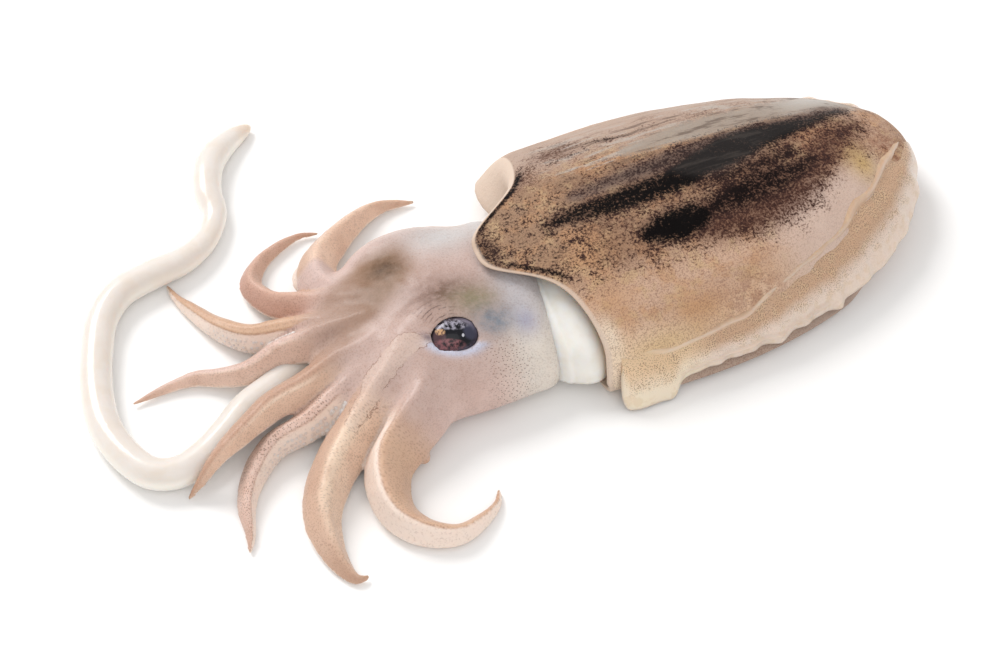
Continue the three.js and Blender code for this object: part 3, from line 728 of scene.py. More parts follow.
FLAPS = [((-104, 27, 2.8), (5.5, 6.5, 2.4)), ((-98.6, -40.3, 3.4), (2.2, 3.4, 1.6))]
FLAP_BLEND = 0.8
EYE_RADII = (6.9, 5.2, 3.6)
EYE_OPENING = (6, 3.6)
EYE_CORNER = 0.8
EYE_TURN = math.radians(-19)
EYES = {"eye_left": ((-81.5, 21.6, 11.5), math.radians(-72)),
        "eye_right": ((-81.5, -20.8, 20.8), math.radians(36))}
# The bulge round an eye: its reach across and up in sizes of the opening, and out of the head in millimetres
EYE_MOUND = (2.1, 2.7, 4.6)
EYE_MOUND_SINK = 0.42
EYE_MOUND_BLEND = 4
EYE_EDGE_BLEND = 1.2
VOXEL = 0.55
BAND = 9
GRID_LOW = np.array([-166, -76, -3])
GRID_HIGH = np.array([-45, 54, 30])
PEELED_BAND = [(-88, -21, 1.2), (-95, -19.5, 3), (-104, -23.5, 3.4), (-114, -32, 2)]
HEAD_OLIVE_STAINS = [(1, (-90, 7.5, 22.5), (5, 5, 8)), (0.3, (-94, 2, 21), (9, 8, 8))]
HEAD_BROWN_STAINS = [(0.92, (-79.5, -9.4, 25), (10, 6.4, 8))]
HEAD_VIOLET_STAINS = [(0.35, (-63, -14, 21), (6, 7, 9)), (0.9, (-62, -23, 20), (3.4, 3.6, 6))]
HEAD_GREEN_STAINS = [(0.95, (-72.5, -14, 24), (7, 5.4, 8))]
HEAD_TEAL_STAINS = [(1, (-70, -21, 22), (5.6, 4.2, 7))]
HEAD_GREY_STAINS = [(1, (-70, 13, 21), (14, 8, 9))]


def smooth_line(route, count):
    """Even steps along a smooth line through a few points."""
    route = np.asarray(route, float)
    controls = [2 * route[0] - route[1], *route, 2 * route[-1] - route[-2]]
    dense = []
    for a, b, c, d in zip(controls, controls[1:], controls[2:], controls[3:]):
        knot = np.cumsum([0] + [np.linalg.norm(q - p) ** 0.5 for p, q in ((a, b), (b, c), (c, d))])
        t = np.linspace(knot[1], knot[2], 24, endpoint=False)[:, None]

        def between(p, q, i, j):
            return ((knot[j] - t) * p + (t - knot[i]) * q) / (knot[j] - knot[i])

        ab, bc, cd = between(a, b, 0, 1), between(b, c, 1, 2), between(c, d, 2, 3)
        dense.append(between(between(ab, bc, 0, 2), between(bc, cd, 1, 3), 1, 2))
    dense = np.vstack([*dense, route[-1:]])
    run = run_along(dense)
    return np.stack([np.interp(np.linspace(0, run[-1], count), run, dense[:, k]) for k in range(3)], -1)


def run_along(line):
    """The way gone along a line at each of its points."""
    return np.append(0, np.cumsum(np.linalg.norm(np.diff(line, axis=0), axis=1)))


def arm_form(name):
    """An arm's middle line from deep in the head, its radius, the share of its free length gone, and the unit
    vectors to its left and over it."""
    radius, taper, route = ARMS[name]
    line = smooth_line([ARM_ORIGIN, *route], ARM_STEPS)
    run = run_along(line)
    root = run[np.argmin(np.linalg.norm(line - route[0], axis=1))]
    share = np.clip((run - root) / (run[-1] - root), 0, 1)
    girth = ARM_TIP_RADIUS + (radius - ARM_TIP_RADIUS) * (1 - share ** taper) ** 0.9
    ahead = unit(np.gradient(line, axis=0))
    left = unit(np.cross([0, 0, 1], ahead))
    return line, girth * (0.5 + 0.5 * smooth(run, 0, root)), share, left, np.cross(ahead, left)


def arm_skin(name):
    line, girth, _, left, over = arm_form(name)
    keel_height, keel_at, sucker_side, *_ = ARM_MARKS[name]
    angle = np.linspace(0, 2 * math.pi, ARM_SIDES, endpoint=False)[:, None]
    flat = 1 - 0.2 * np.maximum(np.cos(angle - np.radians(sucker_side)), 0) ** 3
    keel = 1 + keel_height * np.maximum(np.cos(angle - np.radians(keel_at)), 0) ** 9
    hem = 1 + 0.1 * bell(np.sin(angle), -0.4, 0.22)
    facets = (np.abs(np.cos(angle)) ** ARM_FACETS + np.abs(np.sin(angle)) ** ARM_FACETS) ** (-1 / ARM_FACETS)
    ring = ARM_FULLER * girth[:, None, None] * flat * keel * hem * facets
    high = np.sin(angle) * (1 + ARM_SIDES_LOW * np.sign(np.sin(angle))) - ARM_SIDES_LOW
    rings = line[:, None] + left[:, None] * np.cos(angle) * ring + over[:, None] * ARM_FLATNESS * high * ring
    rings[..., 2] = np.maximum(rings[..., 2], FOOT_Z)
    return closed_skin(rings, line[0], line[-1])


def head_skin():
    x = np.linspace(HEAD_X[0], HEAD_X[-1], HEAD_RINGS)
    sizes = (HEAD_HALF_WIDTH, HEAD_TOP, HEAD_CENTRE_Y)
    half_width, top, centre = (through(HEAD_X, size, x) for size in sizes)
    flank = np.minimum(HEAD_FLANK_Z, 0.6 * top)
    angles = np.linspace(0, 2 * math.pi, HEAD_SIDES, endpoint=False)
    rings = cross_section(x, angles, half_width, top, flank, np.full_like(x, FOOT_Z), centre)
    front = np.array([HEAD_X[0] - 2, centre[0], top[0] / 2])
    return closed_skin(rings, front, np.array([HEAD_X[-1], centre[-1], top[-1] / 2]))


def grid_reach():
    """The first and last cell of the head's grid on each axis."""
    return np.floor(GRID_LOW / VOXEL).astype(int), np.ceil(GRID_HIGH / VOXEL).astype(int)


def distance_block(points, quads, triangles):
    """Distance to a closed skin on the head's grid, negative inside."""
    grid = openvdb.FloatGrid.createLevelSetFromPolygons(
        points.astype(np.float32), triangles=triangles.astype(np.uint32), quads=quads.astype(np.uint32),
        transform=openvdb.createLinearTransform(VOXEL), halfWidth=float(BAND))
    low, high = grid_reach()
    block = np.empty(high - low, np.float32)
    grid.copyToArray(block, ijk=tuple(low.tolist()))
    return block


def oval_distance(points, radii):
    """About the distance of points from a round ball with the given radii, negative inside."""
    return (np.linalg.norm(points / np.array(radii), axis=-1) - 1) * min(radii)


def soft_union(a, b, reach):
    """The nearer of two distances, rounded off over the given reach."""
    overlap = np.maximum(reach - np.abs(a - b), 0) / reach
    return np.minimum(a, b) - overlap ** 2 * reach / 4


def tilted(points, centre, tilt):
    """Points as seen from an eye: along the head, up the slope and out of the head."""
    x, y, z = (points[..., k] - centre[k] for k in range(3))
    return np.stack([x, y * math.cos(tilt) + z * math.sin(tilt), z * math.cos(tilt) - y * math.sin(tilt)], -1)


def eye_plane(points, centre, tilt):
    """Places across and up an eye's opening, 1 at its edge, and the height out of the head in millimetres."""
    seen = tilted(points, centre, tilt)
    slope = seen[..., 1] * math.copysign(1, tilt)
    across = (seen[..., 0] * math.cos(EYE_TURN) + slope * math.sin(EYE_TURN)) / EYE_OPENING[0]
    up = (slope * math.cos(EYE_TURN) - seen[..., 0] * math.sin(EYE_TURN)) / EYE_OPENING[1]
    return across, up, seen[..., 2]


def head_form():
    """The points and outward faces of head, arms, webs and eye sockets, run together as one soft body."""
    low, high = grid_reach()
    axes = [np.arange(low[k], high[k]) * VOXEL for k in range(3)]
    place = np.stack(np.meshgrid(*axes, indexing="ij"), -1).astype(np.float32)
    body = distance_block(*head_skin())
    web = WEB_BLEND - (WEB_BLEND - ARM_BLEND) * smooth(body, 0.5, 5)
    for name in ARMS:
        body = soft_union(body, distance_block(*arm_skin(name)), web)
    for (centre, radii), blend in ((NECK_HUMP, NECK_BLEND), *((flap, FLAP_BLEND) for flap in FLAPS)):
        body = soft_union(body, oval_distance(place - np.array(centre), radii), blend)
    body = np.maximum(body, FOOT_Z - place[..., 2])
    for centre, tilt in EYES.values():
        across, up, out = eye_plane(place, centre, tilt)
        wide, tall, deep = EYE_MOUND
        mound = np.sqrt((across / wide) ** 2 + (up / tall) ** 2 + (out / deep + EYE_MOUND_SINK) ** 2)
        body = soft_union(body, (mound - 1) * deep, EYE_MOUND_BLEND)
        corner = 1 + EYE_CORNER * np.maximum(-across, 0)
        shaft = np.maximum((np.hypot(across, up * corner) - 1) * EYE_OPENING[1], -out)
        socket = oval_distance(tilted(place, centre, tilt), EYE_RADII)
        body = -soft_union(-body, np.minimum(socket, shaft), EYE_EDGE_BLEND)
    grid = openvdb.FloatGrid(float(BAND * VOXEL))
    grid.copyFromArray(np.ascontiguousarray(body, np.float32), ijk=tuple(low.tolist()))
    grid.transform = openvdb.createLinearTransform(VOXEL)
    points, quads = grid.convertToQuads(0)
    quads = quads.astype(int)
    return relaxed(points.astype(float), quads, 3), quads


def relaxed(points, quads, rounds):
    """Points drawn half way to the middle of their neighbours, a few times over."""
    ends = np.vstack([quads[:, [k, (k + 1) % 4]] for k in range(4)])
    ends = np.vstack([ends, ends[:, ::-1]])
    count = np.bincount(ends[:, 0], minlength=len(points))
    for _ in range(rounds):
        total = [np.bincount(ends[:, 0], points[ends[:, 1], k], len(points)) for k in range(3)]
        points = 0.5 * points + 0.5 * np.stack(total, -1) / count[:, None]
    return points


def outward_of(points, quads):
    """Unit normals at the points of a skin of four-sided faces."""
    face = np.cross(points[quads[:, 2]] - points[quads[:, 0]], points[quads[:, 3]] - points[quads[:, 1]])
    return unit(np.stack([sum(np.bincount(quads[:, corner], face[:, k], len(points)) for corner in range(4))
                          for k in range(3)], -1))


def along_arms(points):
    """For each point its nearest arm, the share of its length, the angle round it and the way along it."""
    tree = kdtree.KDTree(len(ARMS) * ARM_STEPS)
    forms = [arm_form(name) for name in ARMS]
    lines, _, shares, left, over = (np.concatenate(parts) for parts in zip(*forms))
    for k, point in enumerate(lines):
        tree.insert(point, k)
    tree.balance()
    near = np.array([tree.find(p)[1] for p in points])
    left, over = left[near], over[near]
    offset = points - lines[near]
    angle = np.arctan2((offset * over).sum(axis=1) / ARM_FLATNESS, (offset * left).sum(axis=1))
    way = np.concatenate([run_along(form[0]) for form in forms])[near]
    return near // ARM_STEPS, shares[near], angle, way + (offset * np.cross(left, over)).sum(axis=1)


def head_paint(skin):
    grain = skin.cloud(0.7, 3, 0.65)
    wisps = skin.cloud(2.4, 3, 0.7)
    patches = skin.cloud(9, 3, 0.6)
    arm, bare = skin.field("arm"), skin.field("bare")
    # Painted light and shade: skin that faces sideways is painted lighter and skin that faces up darker.
    side_tone_painted_lighter = patches.between(0.35, 0.7).blend(tone(228, 200, 190), tone(220, 190, 179))
    top_tone_painted_darker = patches.between(0.35, 0.7).blend(tone(210, 183, 173), tone(203, 174, 163))
    smudge = 0.6 + wisps.between(0.3, 0.7) * 0.4
    peel = skin.field("peel") + (wisps - 0.5) * 1.5
    torn = (1 - skin.maths("ABSOLUTE", peel - 0.55).between(0.01, 0.08)) * patches.between(0.4, 0.55)
    folds = skin.maths("SINE", skin.field("ring") * 6.6 + (wisps - 0.5) * 7).between(0.3, 0.95)
    wrinkles = folds * skin.field("wrinkle") * wisps.between(0.38, 0.56)
    sand = (grain - 0.5) * 2 + (wisps - 0.5) * 0.6
    fine = skin.dots(0.75, 0.2 + 0.5 * (skin.cloud(4, 2) - 0.5), 0.16) * (1 - bare) * skin.field("dots")
    coarse = skin.dots(1.15, 0.13, 0.1) * skin.field("coarse")
    colour = layered(skin.field("upward_for_painted_shade").blend(side_tone_painted_lighter, top_tone_painted_darker), [
        (arm, skin.field("bands", "Color")),
        (patches.between(0.45, 0.7) * arm * 0.3, (204, 162, 138)),
        (skin.field("tip") * 0.5, (186, 146, 122)),
        (skin.field("flap"), (220, 193, 184)),
        (skin.field("grey"), (210, 204, 202)),
        (skin.field("rear"), (240, 229, 217)),
        (skin.field("crown") * (0.75 + 0.25 * smudge), (154, 118, 90)),
        (skin.field("olive") * smudge, (76, 50, 22)),
        (skin.field("brown") * smudge, (88, 50, 26)),
        (skin.field("violet"), (184, 180, 196)),
        (skin.field("lid"), (212, 214, 232)),
        (skin.field("green") * smudge, (140, 132, 100)),
        (skin.field("teal") * smudge, (124, 138, 152)),
        (peel.between(0.4, 0.7) * 0.4, (236, 212, 196)),
        (torn * 0.7, (138, 100, 84)),
        (wrinkles * 0.85, (84, 66, 62)),
        # The eye's front corner: the lid's greyish tone with painted shade of its fold.
        (skin.field("corner"), (138, 122, 130)),
        (bare, (255, 235, 221)),
        (skin.field("seam") * 0.35, (160, 118, 94)),
        (sand.between(0.0, 0.5) * 0.3, (160, 124, 108)),
        (fine * 0.6, (104, 74, 62)),
        (coarse * 0.85, (92, 60, 50)),
    ])
    return colour, 0.34 + 0.14 * grain, 0.08 * grain + 0.12 * wisps + 0.16 * skin.cloud(4, 2)


def make_head():
    points, quads = head_form()
    arm, share, angle, way = along_arms(points)
    x, y, z = points.T
    _, keel_at, sucker_side, light, width, dotted = np.array(list(ARM_MARKS.values()))[arm].T
    on_arm = smooth(share, 0.06, 0.25)
    faces_out = np.cos(angle - np.radians(sucker_side)) - 0.26
    turned_over = (sucker_side > -60) * smooth(share, 0.1, 0.2)
    from_keel = np.where(angle < -math.pi / 2, angle + 2 * math.pi, angle) - np.radians(keel_at)
    # The keel line: pale skin with a painted highlight along the ridge.
    keel = bell(from_keel, 0, width) * light * smooth(share, 0.12, 0.35) * (1 - 0.6 * smooth(share, 0.5, 0.8))
    tones = np.array([[tone(*colour)[:3] for colour in row[:3]] for row in ARM_TONES.values()])[arm]
    softness = np.radians(np.array([row[3] for row in ARM_TONES.values()]))[arm]
    right = smooth(from_keel / softness, -1, 1)[:, None]
    bands = tones[:, 0] * (1 - right) + tones[:, 2] * right
    bands += (tones[:, 1] - bands) * keel[:, None]
    relief = 0.14 * lumps(points, 6, 3) + 0.08 * lumps(points, 2.2, 4) + 0.45 * keel
    relief += turned_over * (0.35 * bell(faces_out, -0.1, 0.09) - 0.2 * smooth(faces_out, 0, 0.2))
    normal = outward_of(points, quads)
    points = points + normal * (relief * smooth(z, 0.8, 3))[:, None]

    across, up, out = eye_plane(points, *EYES["eye_right"])
    near_side = smooth(out, -6, -2)
    corner_line = up + 0.12 + 0.5 * (across + 1.2)
    crown_edge = -4 + 0.55 * (x + 92)
    crown_far = y - 0.45 * np.minimum(x + 95, 0)
    crown = smooth(y - crown_edge, -3, 4) * smooth(crown_far, 18, 11) * smooth(x, -78, -88)
    crown *= smooth(z, 8, 13) * smooth(x, -124, -102) * (0.62 + 0.38 * smooth(x, -104, -92))
    behind = y - through(HEAD_X, HEAD_CENTRE_Y, x)
    drop = np.maximum(through(HEAD_X, HEAD_TOP, x) - z, 0)
    head_flat = np.stack([x, y + np.tanh(behind / 8) * drop, 0 * x], -1)
    arm_flat = np.stack([way + 37 * arm, 4 * angle, 0 * x], -1)
    fields = {
        "unrolled": np.where(on_arm[:, None] > 0.5, arm_flat, head_flat),
        "arm": on_arm,
        "bands": bands,
        "tip": smooth(share, 0.75, 1),
        "flap": (arm == 0) * span(share, 0.02, 0.1, 0.28, 0.34),
        "grey": np.maximum(*stain_and_highlight_spots(points, HEAD_GREY_STAINS), 0.95 * smooth(x, -70, -61)),
        "rear": 0.95 * smooth(x, -78, -61) * smooth(y, -16, -30),
        # How far the skin faces up, which sets its painted shade.
        "upward_for_painted_shade": smooth(normal[:, 2], 0.35, 1.0),
        "crown": crown,
        "olive": np.maximum(*stain_and_highlight_spots(points, HEAD_OLIVE_STAINS)),
        "brown": sum(stain_and_highlight_spots(points, HEAD_BROWN_STAINS)),
        "violet": sum(stain_and_highlight_spots(points, HEAD_VIOLET_STAINS)).clip(0, 1),
        "lid": 0.9 * bell(np.hypot(across, up), 1.22, 0.34) * smooth(-up, 0.15, 0.6) * near_side,
        "green": sum(stain_and_highlight_spots(points, HEAD_GREEN_STAINS)),
        "teal": sum(stain_and_highlight_spots(points, HEAD_TEAL_STAINS)),
        "peel": strip(points, PEELED_BAND, 3) * smooth(z, 9, 13),
        "ring": np.hypot(across * EYE_OPENING[0] / 1.15, up * EYE_OPENING[1]),
        "wrinkle": bell(across, -0.8, 0.8) * bell(up, 1.7, 0.65) * near_side,
        # The eye's front corner, the lid's tone with painted shade of its fold.
        "corner": 0.85 * bell(across, -1.2, 0.28) * bell(corner_line, 0, 0.3) * near_side,
        "bare": smooth(faces_out, -0.05, 0.05) * smooth(share, 0.1, 0.2),
        "seam": turned_over * bell(faces_out, -0.04, 0.03) * smooth(share, 0.9, 0.6),
        "dots": 0.25 + on_arm * dotted,
        "coarse": span(x, -80, -72, -67, -62) * smooth(y, -24, -28),
    }
    skin = wet_skin("head skin", head_paint,
                    soaked(0.3, (1.0, 0.75, 0.6), 0.003, 0.14, 0.2) | {"Specular IOR Level": 0.22})
    return flesh("head_with_arms", points, (quads,), fields, skin, "head_and_arms")


head = make_head()


# Suckers
# Small cups of pale muscle in five rows along the sucker side of two arms that lie turned over. Each is a
# raised ring round a shallow dish, smaller towards the tip.
SUCKER_ARMS = ("C", "F")
SUCKER_ROWS = (-0.7, -0.35, 0, 0.35, 0.7)
SUCKER_SHARE = 0.085
SUCKER_RING_WIDTH = 0.3
SUCKER_LIFT = 0.15
SUCKER_START = 0.14
SUCKER_REACH = 0.5
SUCKERS_EACH = 22
SUCKER_SEED = 7


def growth_tree(name, values):
    """A tree of nodes with a named number for each value; gives its maker, its geometry and those numbers."""
    tree = bpy.data.node_groups.new(name, "GeometryNodeTree")
    tree.interface.new_socket("Geometry", socket_type="NodeSocketGeometry", in_out="INPUT")
    for value in values:
        tree.interface.new_socket(value, socket_type="NodeSocketFloat", in_out="INPUT")
    tree.interface.new_socket("Geometry", socket_type="NodeSocketGeometry", in_out="OUTPUT")
    put = Pattern(tree)
    given = put.node("NodeGroupInput", {}, {})
    return put, given, {value: Pattern(tree, given.socket.node.outputs[value]) for value in values}


def grown(name, seed, shape, values, material, node):
    """The plain piece that a seed object becomes under the tree of nodes that makes the given shape."""
    smoothed = shape.node("GeometryNodeSetShadeSmooth", {}, {"Geometry": shape})
    whole = shape.node("GeometryNodeRealizeInstances", {}, {"Geometry": smoothed})
    coated = shape.node("GeometryNodeSetMaterial", {}, {"Geometry": whole, "Material": material})
    shape.tree.links.new(coated.socket, shape.tree.nodes.new("NodeGroupOutput").inputs[0])
    bpy.context.scene.collection.objects.link(seed)
    modifier = seed.modifiers.new("growth", "NODES")
    modifier.node_group = shape.tree
    for socket in shape.tree.interface.items_tree:
        if socket.name in values:
            modifier[socket.identifier] = values[socket.name]
    evaluated = seed.evaluated_get(bpy.context.evaluated_depsgraph_get())
    piece = bpy.data.objects.new(name, bpy.data.meshes.new_from_object(evaluated))
    bpy.data.objects.remove(seed)
    placed(piece, node)


def sucker_shape(values):
    put, seats, size = growth_tree("sucker rows", values)
    ring = put.node("GeometryNodeCurvePrimitiveCircle", {}, {"Resolution": 8, "Radius": 1.0})
    lip = put.node("GeometryNodeCurvePrimitiveCircle", {}, {"Resolution": 5, "Radius": size["Ring Width"]})
    cup = put.node("GeometryNodeCurveToMesh", {}, {"Curve": ring, "Profile Curve": lip})
    dish = put.node("GeometryNodeMeshUVSphere", {}, {"Segments": 8, "Rings": 4, "Radius": 0.85})
    dish = put.node("GeometryNodeTransform", {}, {"Geometry": dish, "Scale": (1, 1, 0.45)})
    both = put.node("GeometryNodeJoinGeometry", {}, {})
    for part in (cup, dish):
        put.tree.links.new(part.socket, both.socket.node.inputs[0])
    facing = put.node("GeometryNodeInputNamedAttribute", {"data_type": "FLOAT_VECTOR"}, {"Name": "facing"})
    scale = put.node("GeometryNodeInputNamedAttribute", {"data_type": "FLOAT"}, {"Name": "size"})
    turn = put.node("FunctionNodeAlignRotationToVector", {"axis": "Z"}, {"Vector": facing})
    return put.node("GeometryNodeInstanceOnPoints", {},
                    {"Points": seats, "Instance": both, "Rotation": turn, "Scale": scale})


def sucker_paint(skin):
    cloud = skin.cloud(2, 2)
    colour = cloud.between(0.3, 0.7).blend(tone(255, 245, 237), tone(246, 224, 212))
    return colour, 0.26 + 0.1 * cloud, 0.05 * cloud


def sucker_seats():
    """Points on the bare side of the suckers' arms, with the way each sucker faces and its size."""
    skin = head.data
    surface = BVHTree.FromPolygons([v.co for v in skin.vertices], [p.vertices for p in skin.polygons])
    seats, facing, sizes = [], [], []
    chance = np.random.default_rng(SUCKER_SEED)
    for name in SUCKER_ARMS:
        line, girth, share, left, over = arm_form(name)
        middle = np.radians(ARM_MARKS[name][2])
        for k, row in itertools.product(range(SUCKERS_EACH), SUCKER_ROWS):
            stagger = 0.5 if row in SUCKER_ROWS[1::2] else 0
            gone = (k + stagger + chance.uniform(-0.25, 0.25)) / SUCKERS_EACH
            at = np.searchsorted(share, SUCKER_START + SUCKER_REACH * gone)
            angle = middle + row + chance.uniform(-0.08, 0.08)
            out = left[at] * math.cos(angle) + over[at] * math.sin(angle)
            place, normal, _, gap = surface.find_nearest(Vector((line[at] + out * girth[at] * 0.85) * MM))
            size = SUCKER_SHARE * girth[at] * (1.15 - 0.6 * gone) * chance.uniform(0.75, 1.2) * MM
            if gap < 0.3 * girth[at] * MM and place.z > 2 * size:
                seats.append(place + normal * size * SUCKER_LIFT)
                facing.append(normal)
                sizes.append(size)
    mesh = bpy.data.meshes.new("sucker seats")
    mesh.from_pydata(seats, [], [])
    mesh.attributes.new("facing", "FLOAT_VECTOR", "POINT").data.foreach_set("vector", np.ravel(facing))
    mesh.attributes.new("size", "FLOAT", "POINT").data.foreach_set("value", sizes)
    return bpy.data.objects.new("sucker seats", mesh)


def make_suckers():
    values = {"Ring Width": SUCKER_RING_WIDTH}
    muscle = wet_skin("sucker muscle", sucker_paint, soaked(0.3, (1.0, 0.7, 0.5), 0.002, 0.4, 0.12))
    grown("arm_suckers", sucker_seats(), sucker_shape(values), values, muscle, "head_and_arms")


make_suckers()


# Eyes
# A flattened ball in a socket on each side of the head, under a clear wet skin. Its pupil has widened and
# gone dark, with red and amber flesh below and before it, a bluish sheen behind, a pale veil over its top
# that is partly clear skin and partly painted glare, and a small painted glint.
EYE_STEPS = 64


def eye_paint(skin):
    across, up = skin.field("across"), skin.field("up")
    cloud = skin.cloud(1.1, 3, 0.6)
    speckle = skin.cloud(0.9, 3, 0.6)
    lace = skin.cloud(1.0, 3, 0.7).between(0.42, 0.6)
    wobble = (cloud - 0.5) * 0.5

    def oval(centre, reach):
        """1 in an oval round a centre, 0 outside it, with a soft edge."""
        right, high = (across - centre[0]) * (1 / reach[0]), (up - centre[1]) * (1 / reach[1])
        return 1 - (right * right + high * high + wobble).between(0.5, 1.35)

    colour = layered(across.between(-0.2, 0.8).blend(tone(74, 64, 70), tone(138, 130, 146)), [
        (oval((-0.02, 0.06), (1.08, 1.0)), (14, 13, 22)),
        (oval((-0.7, -0.1), (0.26, 0.56)) * 0.5, (116, 84, 88)),
        (oval((-0.28, -0.66), (0.7, 0.44)) * speckle.between(0.34, 0.68) * 0.8, (164, 106, 110)),
        (oval((0.7, 0.35), (0.4, 0.6)) * 0.5, (84, 84, 108)),
        (oval((-0.68, 0.26), (0.2, 0.26)) * speckle.between(0.4, 0.56) * 0.8, (226, 180, 134)),
        # A pale veil over the top: partly the clear skin, partly painted glare.
        (oval((-0.3, 0.85), (0.85, 0.42)) * lace * 0.7, (196, 190, 206)),
        # A painted glint: a small reflection of the light on the wet eye.
        (oval((0.3, 0.06), (0.06, 0.13)) * 0.8, (230, 230, 238)),
    ])
    return colour, 0.12 + 0.1 * cloud, 0.06 * cloud


def make_eye(name, centre, tilt):
    turn = np.linspace(0, 2 * math.pi, EYE_STEPS, endpoint=False)
    down = np.linspace(math.pi, 0, EYE_STEPS // 2)[1:-1, None]
    around = [np.sin(down) * np.cos(turn), np.sin(down) * np.sin(turn), np.cos(down) * np.ones_like(turn)]
    ball, quads, caps = closed_skin(np.stack(around, -1), np.array([0, 0, -1.0]), np.array([0, 0, 1.0]))
    points = tilted(ball * EYE_RADII, (0, 0, 0), -tilt) + centre
    across, up, _ = eye_plane(points, centre, tilt)
    flesh(name + "_ball", points, (quads, caps), {"across": across, "up": up}, eye_clear, name)


eye_clear = wet_skin("eye clear skin", eye_paint, {
    "Specular IOR Level": 0.3, "Coat Weight": 0.1, "Coat Roughness": 0.03, "IOR": 1.4})
for eye_name, (eye_centre, eye_tilt) in EYES.items():
    make_eye(eye_name, eye_centre, eye_tilt)


# Tentacle
# The long feeding tentacle, a smooth ivory strap that comes out between the arms, loops over the table and
# ends in a narrow club with a tan tip.
TENTACLE_ROUTE = [(-116, 0, 4.4), (-126, -5, 4.2), (-135, -9, 4.2), (-143, -15, 4.2), (-151, -20, 4.2),
                  (-158, -22, 4.2), (-164, -20, 4.2), (-168, -14, 4.2), (-171, -2, 4.2), (-170, 10, 4.2),
                  (-166, 24, 4.2), (-161, 35, 4.2), (-154, 42, 4.2), (-144, 45, 4.1), (-134, 47, 4),
                  (-126, 52, 3.8), (-121, 60, 3.7), (-120, 69, 4.4), (-116, 79, 4), (-109, 86, 3),
                  (-100, 91, 1.8)]
# The strap's radius, the thin neck before its club and the taper of the club, as the nodes' named inputs
STRAP_SIZES = {"Radius": 4.4 * MM, "Neck Loss": 1.1 * MM, "Neck Place": 0.77, "Neck Spread": 0.07,
               "Club Start": 0.87, "Tip Loss": 0.985}
TENTACLE_CLUB_CURVE = 2.2
TENTACLE_FLATNESS = 0.9
TENTACLE_STEPS = 360
TENTACLE_SIDES = 40


def strap_shape():
    put, route, size = growth_tree("tentacle strap", STRAP_SIZES)
    along = put.node("GeometryNodeSplineParameter", {}, {})
    off_neck = put.maths("DIVIDE", along - size["Neck Place"], size["Neck Spread"])
    neck = size["Neck Loss"] * put.maths("EXPONENT", -1 * (off_neck * off_neck))
    club = put.maths("DIVIDE", along - size["Club Start"], 1 - size["Club Start"])
    taper = put.maths("POWER", put.maths("MAXIMUM", club, 0.0), TENTACLE_CLUB_CURVE)
    narrowing = put.maths("SQRT", 1 - size["Tip Loss"] * taper)

    def marked(shape, name, value):
        return put.node("GeometryNodeStoreNamedAttribute", {"data_type": "FLOAT", "domain": "POINT"},
                        {"Geometry": shape, "Name": name, "Value": value})

    profile = put.node("GeometryNodeCurvePrimitiveCircle", {}, {"Resolution": TENTACLE_SIDES, "Radius": 1.0})
    profile = put.node("GeometryNodeTransform", {},
                       {"Geometry": profile, "Scale": (1.0, TENTACLE_FLATNESS, 1.0)})
    tube = put.node("GeometryNodeCurveToMesh", {}, {
        "Curve": marked(route, "along", along), "Profile Curve": profile, "Fill Caps": True,
        "Scale": (size["Radius"] - neck) * narrowing})
    # How far the skin faces up, kept for the painted shade in the material.
    outward = put.node("GeometryNodeInputNormal", {}, {})
    return marked(tube, "upward_for_painted_shade", put.node("ShaderNodeSeparateXYZ", {}, {"Vector": outward}, "Z"))


def tentacle_paint(skin):
    cloud = skin.cloud(7, 3, 0.6)
    # Painted light: the strap's sides are painted lighter than its top.
    top_tone_painted_darker = cloud.between(0.35, 0.7).blend(tone(239, 231, 224), tone(236, 225, 214))
    colour = skin.field("upward_for_painted_shade").between(0.15, 0.9).blend(tone(255, 249, 240), top_tone_painted_darker)
    colour = layered(colour, [(skin.field("along").between(0.955, 1.0) * 0.55, (222, 192, 164))])
    return colour, 0.24 + 0.14 * cloud, 0.2 * cloud


def make_tentacle():
    line = smooth_line(TENTACLE_ROUTE, TENTACLE_STEPS) * MM
    curve = bpy.data.curves.new("tentacle route", "CURVE")
    curve.dimensions = "3D"
    curve.twist_mode = "Z_UP"
    spline = curve.splines.new("POLY")
    spline.points.add(len(line) - 1)
    spline.points.foreach_set("co", np.column_stack([line, np.ones(len(line))]).ravel())
    route = bpy.data.objects.new("tentacle route", curve)
    skin = wet_skin("tentacle skin", tentacle_paint, soaked(0.6, (1.0, 0.85, 0.7), 0.005, 0.5, 0.1))
    grown("feeding_tentacle", route, strap_shape(), STRAP_SIZES, skin, "tentacle")


make_tentacle()


# Table, light and camera
# A plain pale table in soft daylight from the upper left, seen from above the near side of the head.
CAMERA_AZIMUTH = math.radians(-23)
CAMERA_ELEVATION = math.radians(50)
CAMERA_DISTANCE = 0.638
CAMERA_TARGET = Vector((-0.063, -0.008, 0))
CAMERA_LENS = 85
CAMERA_SENSOR = 36
TABLE_SIZE = 6
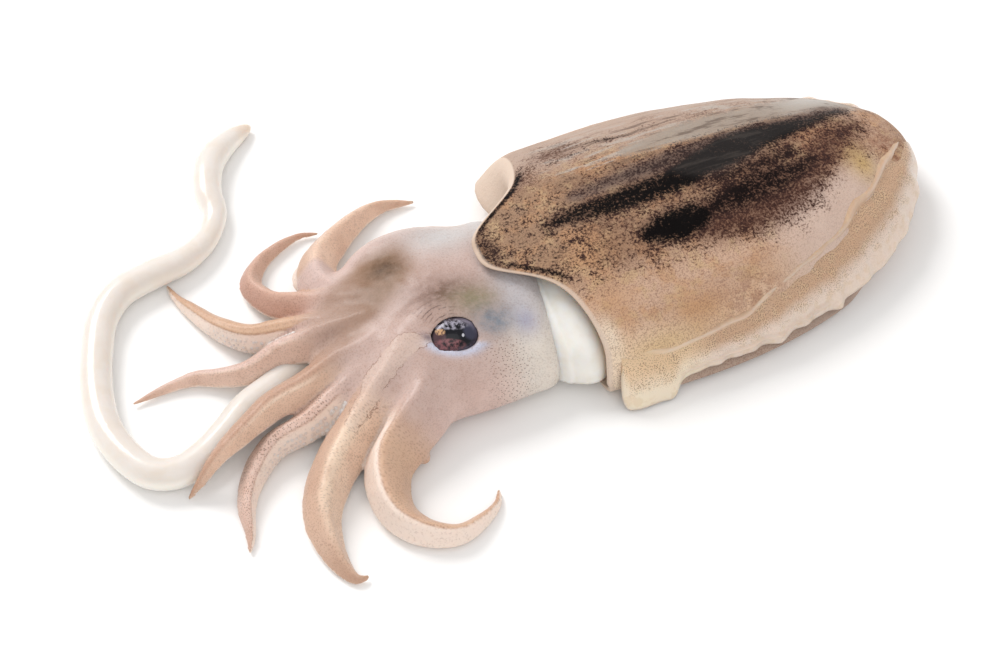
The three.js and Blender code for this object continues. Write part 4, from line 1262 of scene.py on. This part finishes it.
# Each light's place, width in metres and power in watts
LIGHTS = {"key": (Vector((-0.45, 1.05, 1.1)), 0.8, 16), "fill": (Vector((-0.2, -1.0, 1.1)), 1.3, 5)}
SKY = 0.76


def aimed(thing, place, target):
    thing.location = place
    thing.rotation_euler = (target - place).to_track_quat("-Z", "Y").to_euler()
    bpy.context.scene.collection.objects.link(thing)


def table_paint(skin):
    cloud = skin.cloud(60, 2)
    return cloud.blend((0.91, 0.9, 0.89, 1), (0.92, 0.91, 0.9, 1)), 0.6 + 0.1 * cloud, 0.01 * cloud


def make_table():
    mesh = bpy.data.meshes.new("table")
    half = TABLE_SIZE / 2
    corners = [(-half, -half, 0), (half, -half, 0), (half, half, 0), (-half, half, 0)]
    mesh.from_pydata(corners, [], [(0, 1, 2, 3)])
    mesh.materials.append(wet_skin("table white", table_paint, {"Specular IOR Level": 0.1}))
    table = bpy.data.objects.new("table", mesh)
    bpy.context.scene.collection.objects.link(table)


def make_lights():
    for name, (place, size, power) in LIGHTS.items():
        light = bpy.data.lights.new(name, "AREA")
        light.shape = "DISK"
        light.size = size
        light.energy = power
        aimed(bpy.data.objects.new(name, light), place, CAMERA_TARGET)
    world = bpy.data.worlds.new("sky")
    world.use_nodes = True
    sky = world.node_tree.nodes["Background"]
    sky.inputs["Color"].default_value = (1, 1, 1, 1)
    sky.inputs["Strength"].default_value = SKY
    bpy.context.scene.world = world


def make_camera():
    lens = bpy.data.cameras.new("camera")
    lens.lens = CAMERA_LENS
    lens.sensor_width = CAMERA_SENSOR
    lens.sensor_fit = "HORIZONTAL"
    flat = math.cos(CAMERA_ELEVATION)
    ahead, aside = math.cos(CAMERA_AZIMUTH) * flat, math.sin(CAMERA_AZIMUTH) * flat
    camera = bpy.data.objects.new("camera", lens)
    back = Vector((aside, -ahead, math.sin(CAMERA_ELEVATION)))
    aimed(camera, CAMERA_TARGET + CAMERA_DISTANCE * back, CAMERA_TARGET)
    bpy.context.scene.camera = camera
    bpy.context.scene.view_settings.view_transform = "Standard"


make_table()
make_lights()
make_camera()
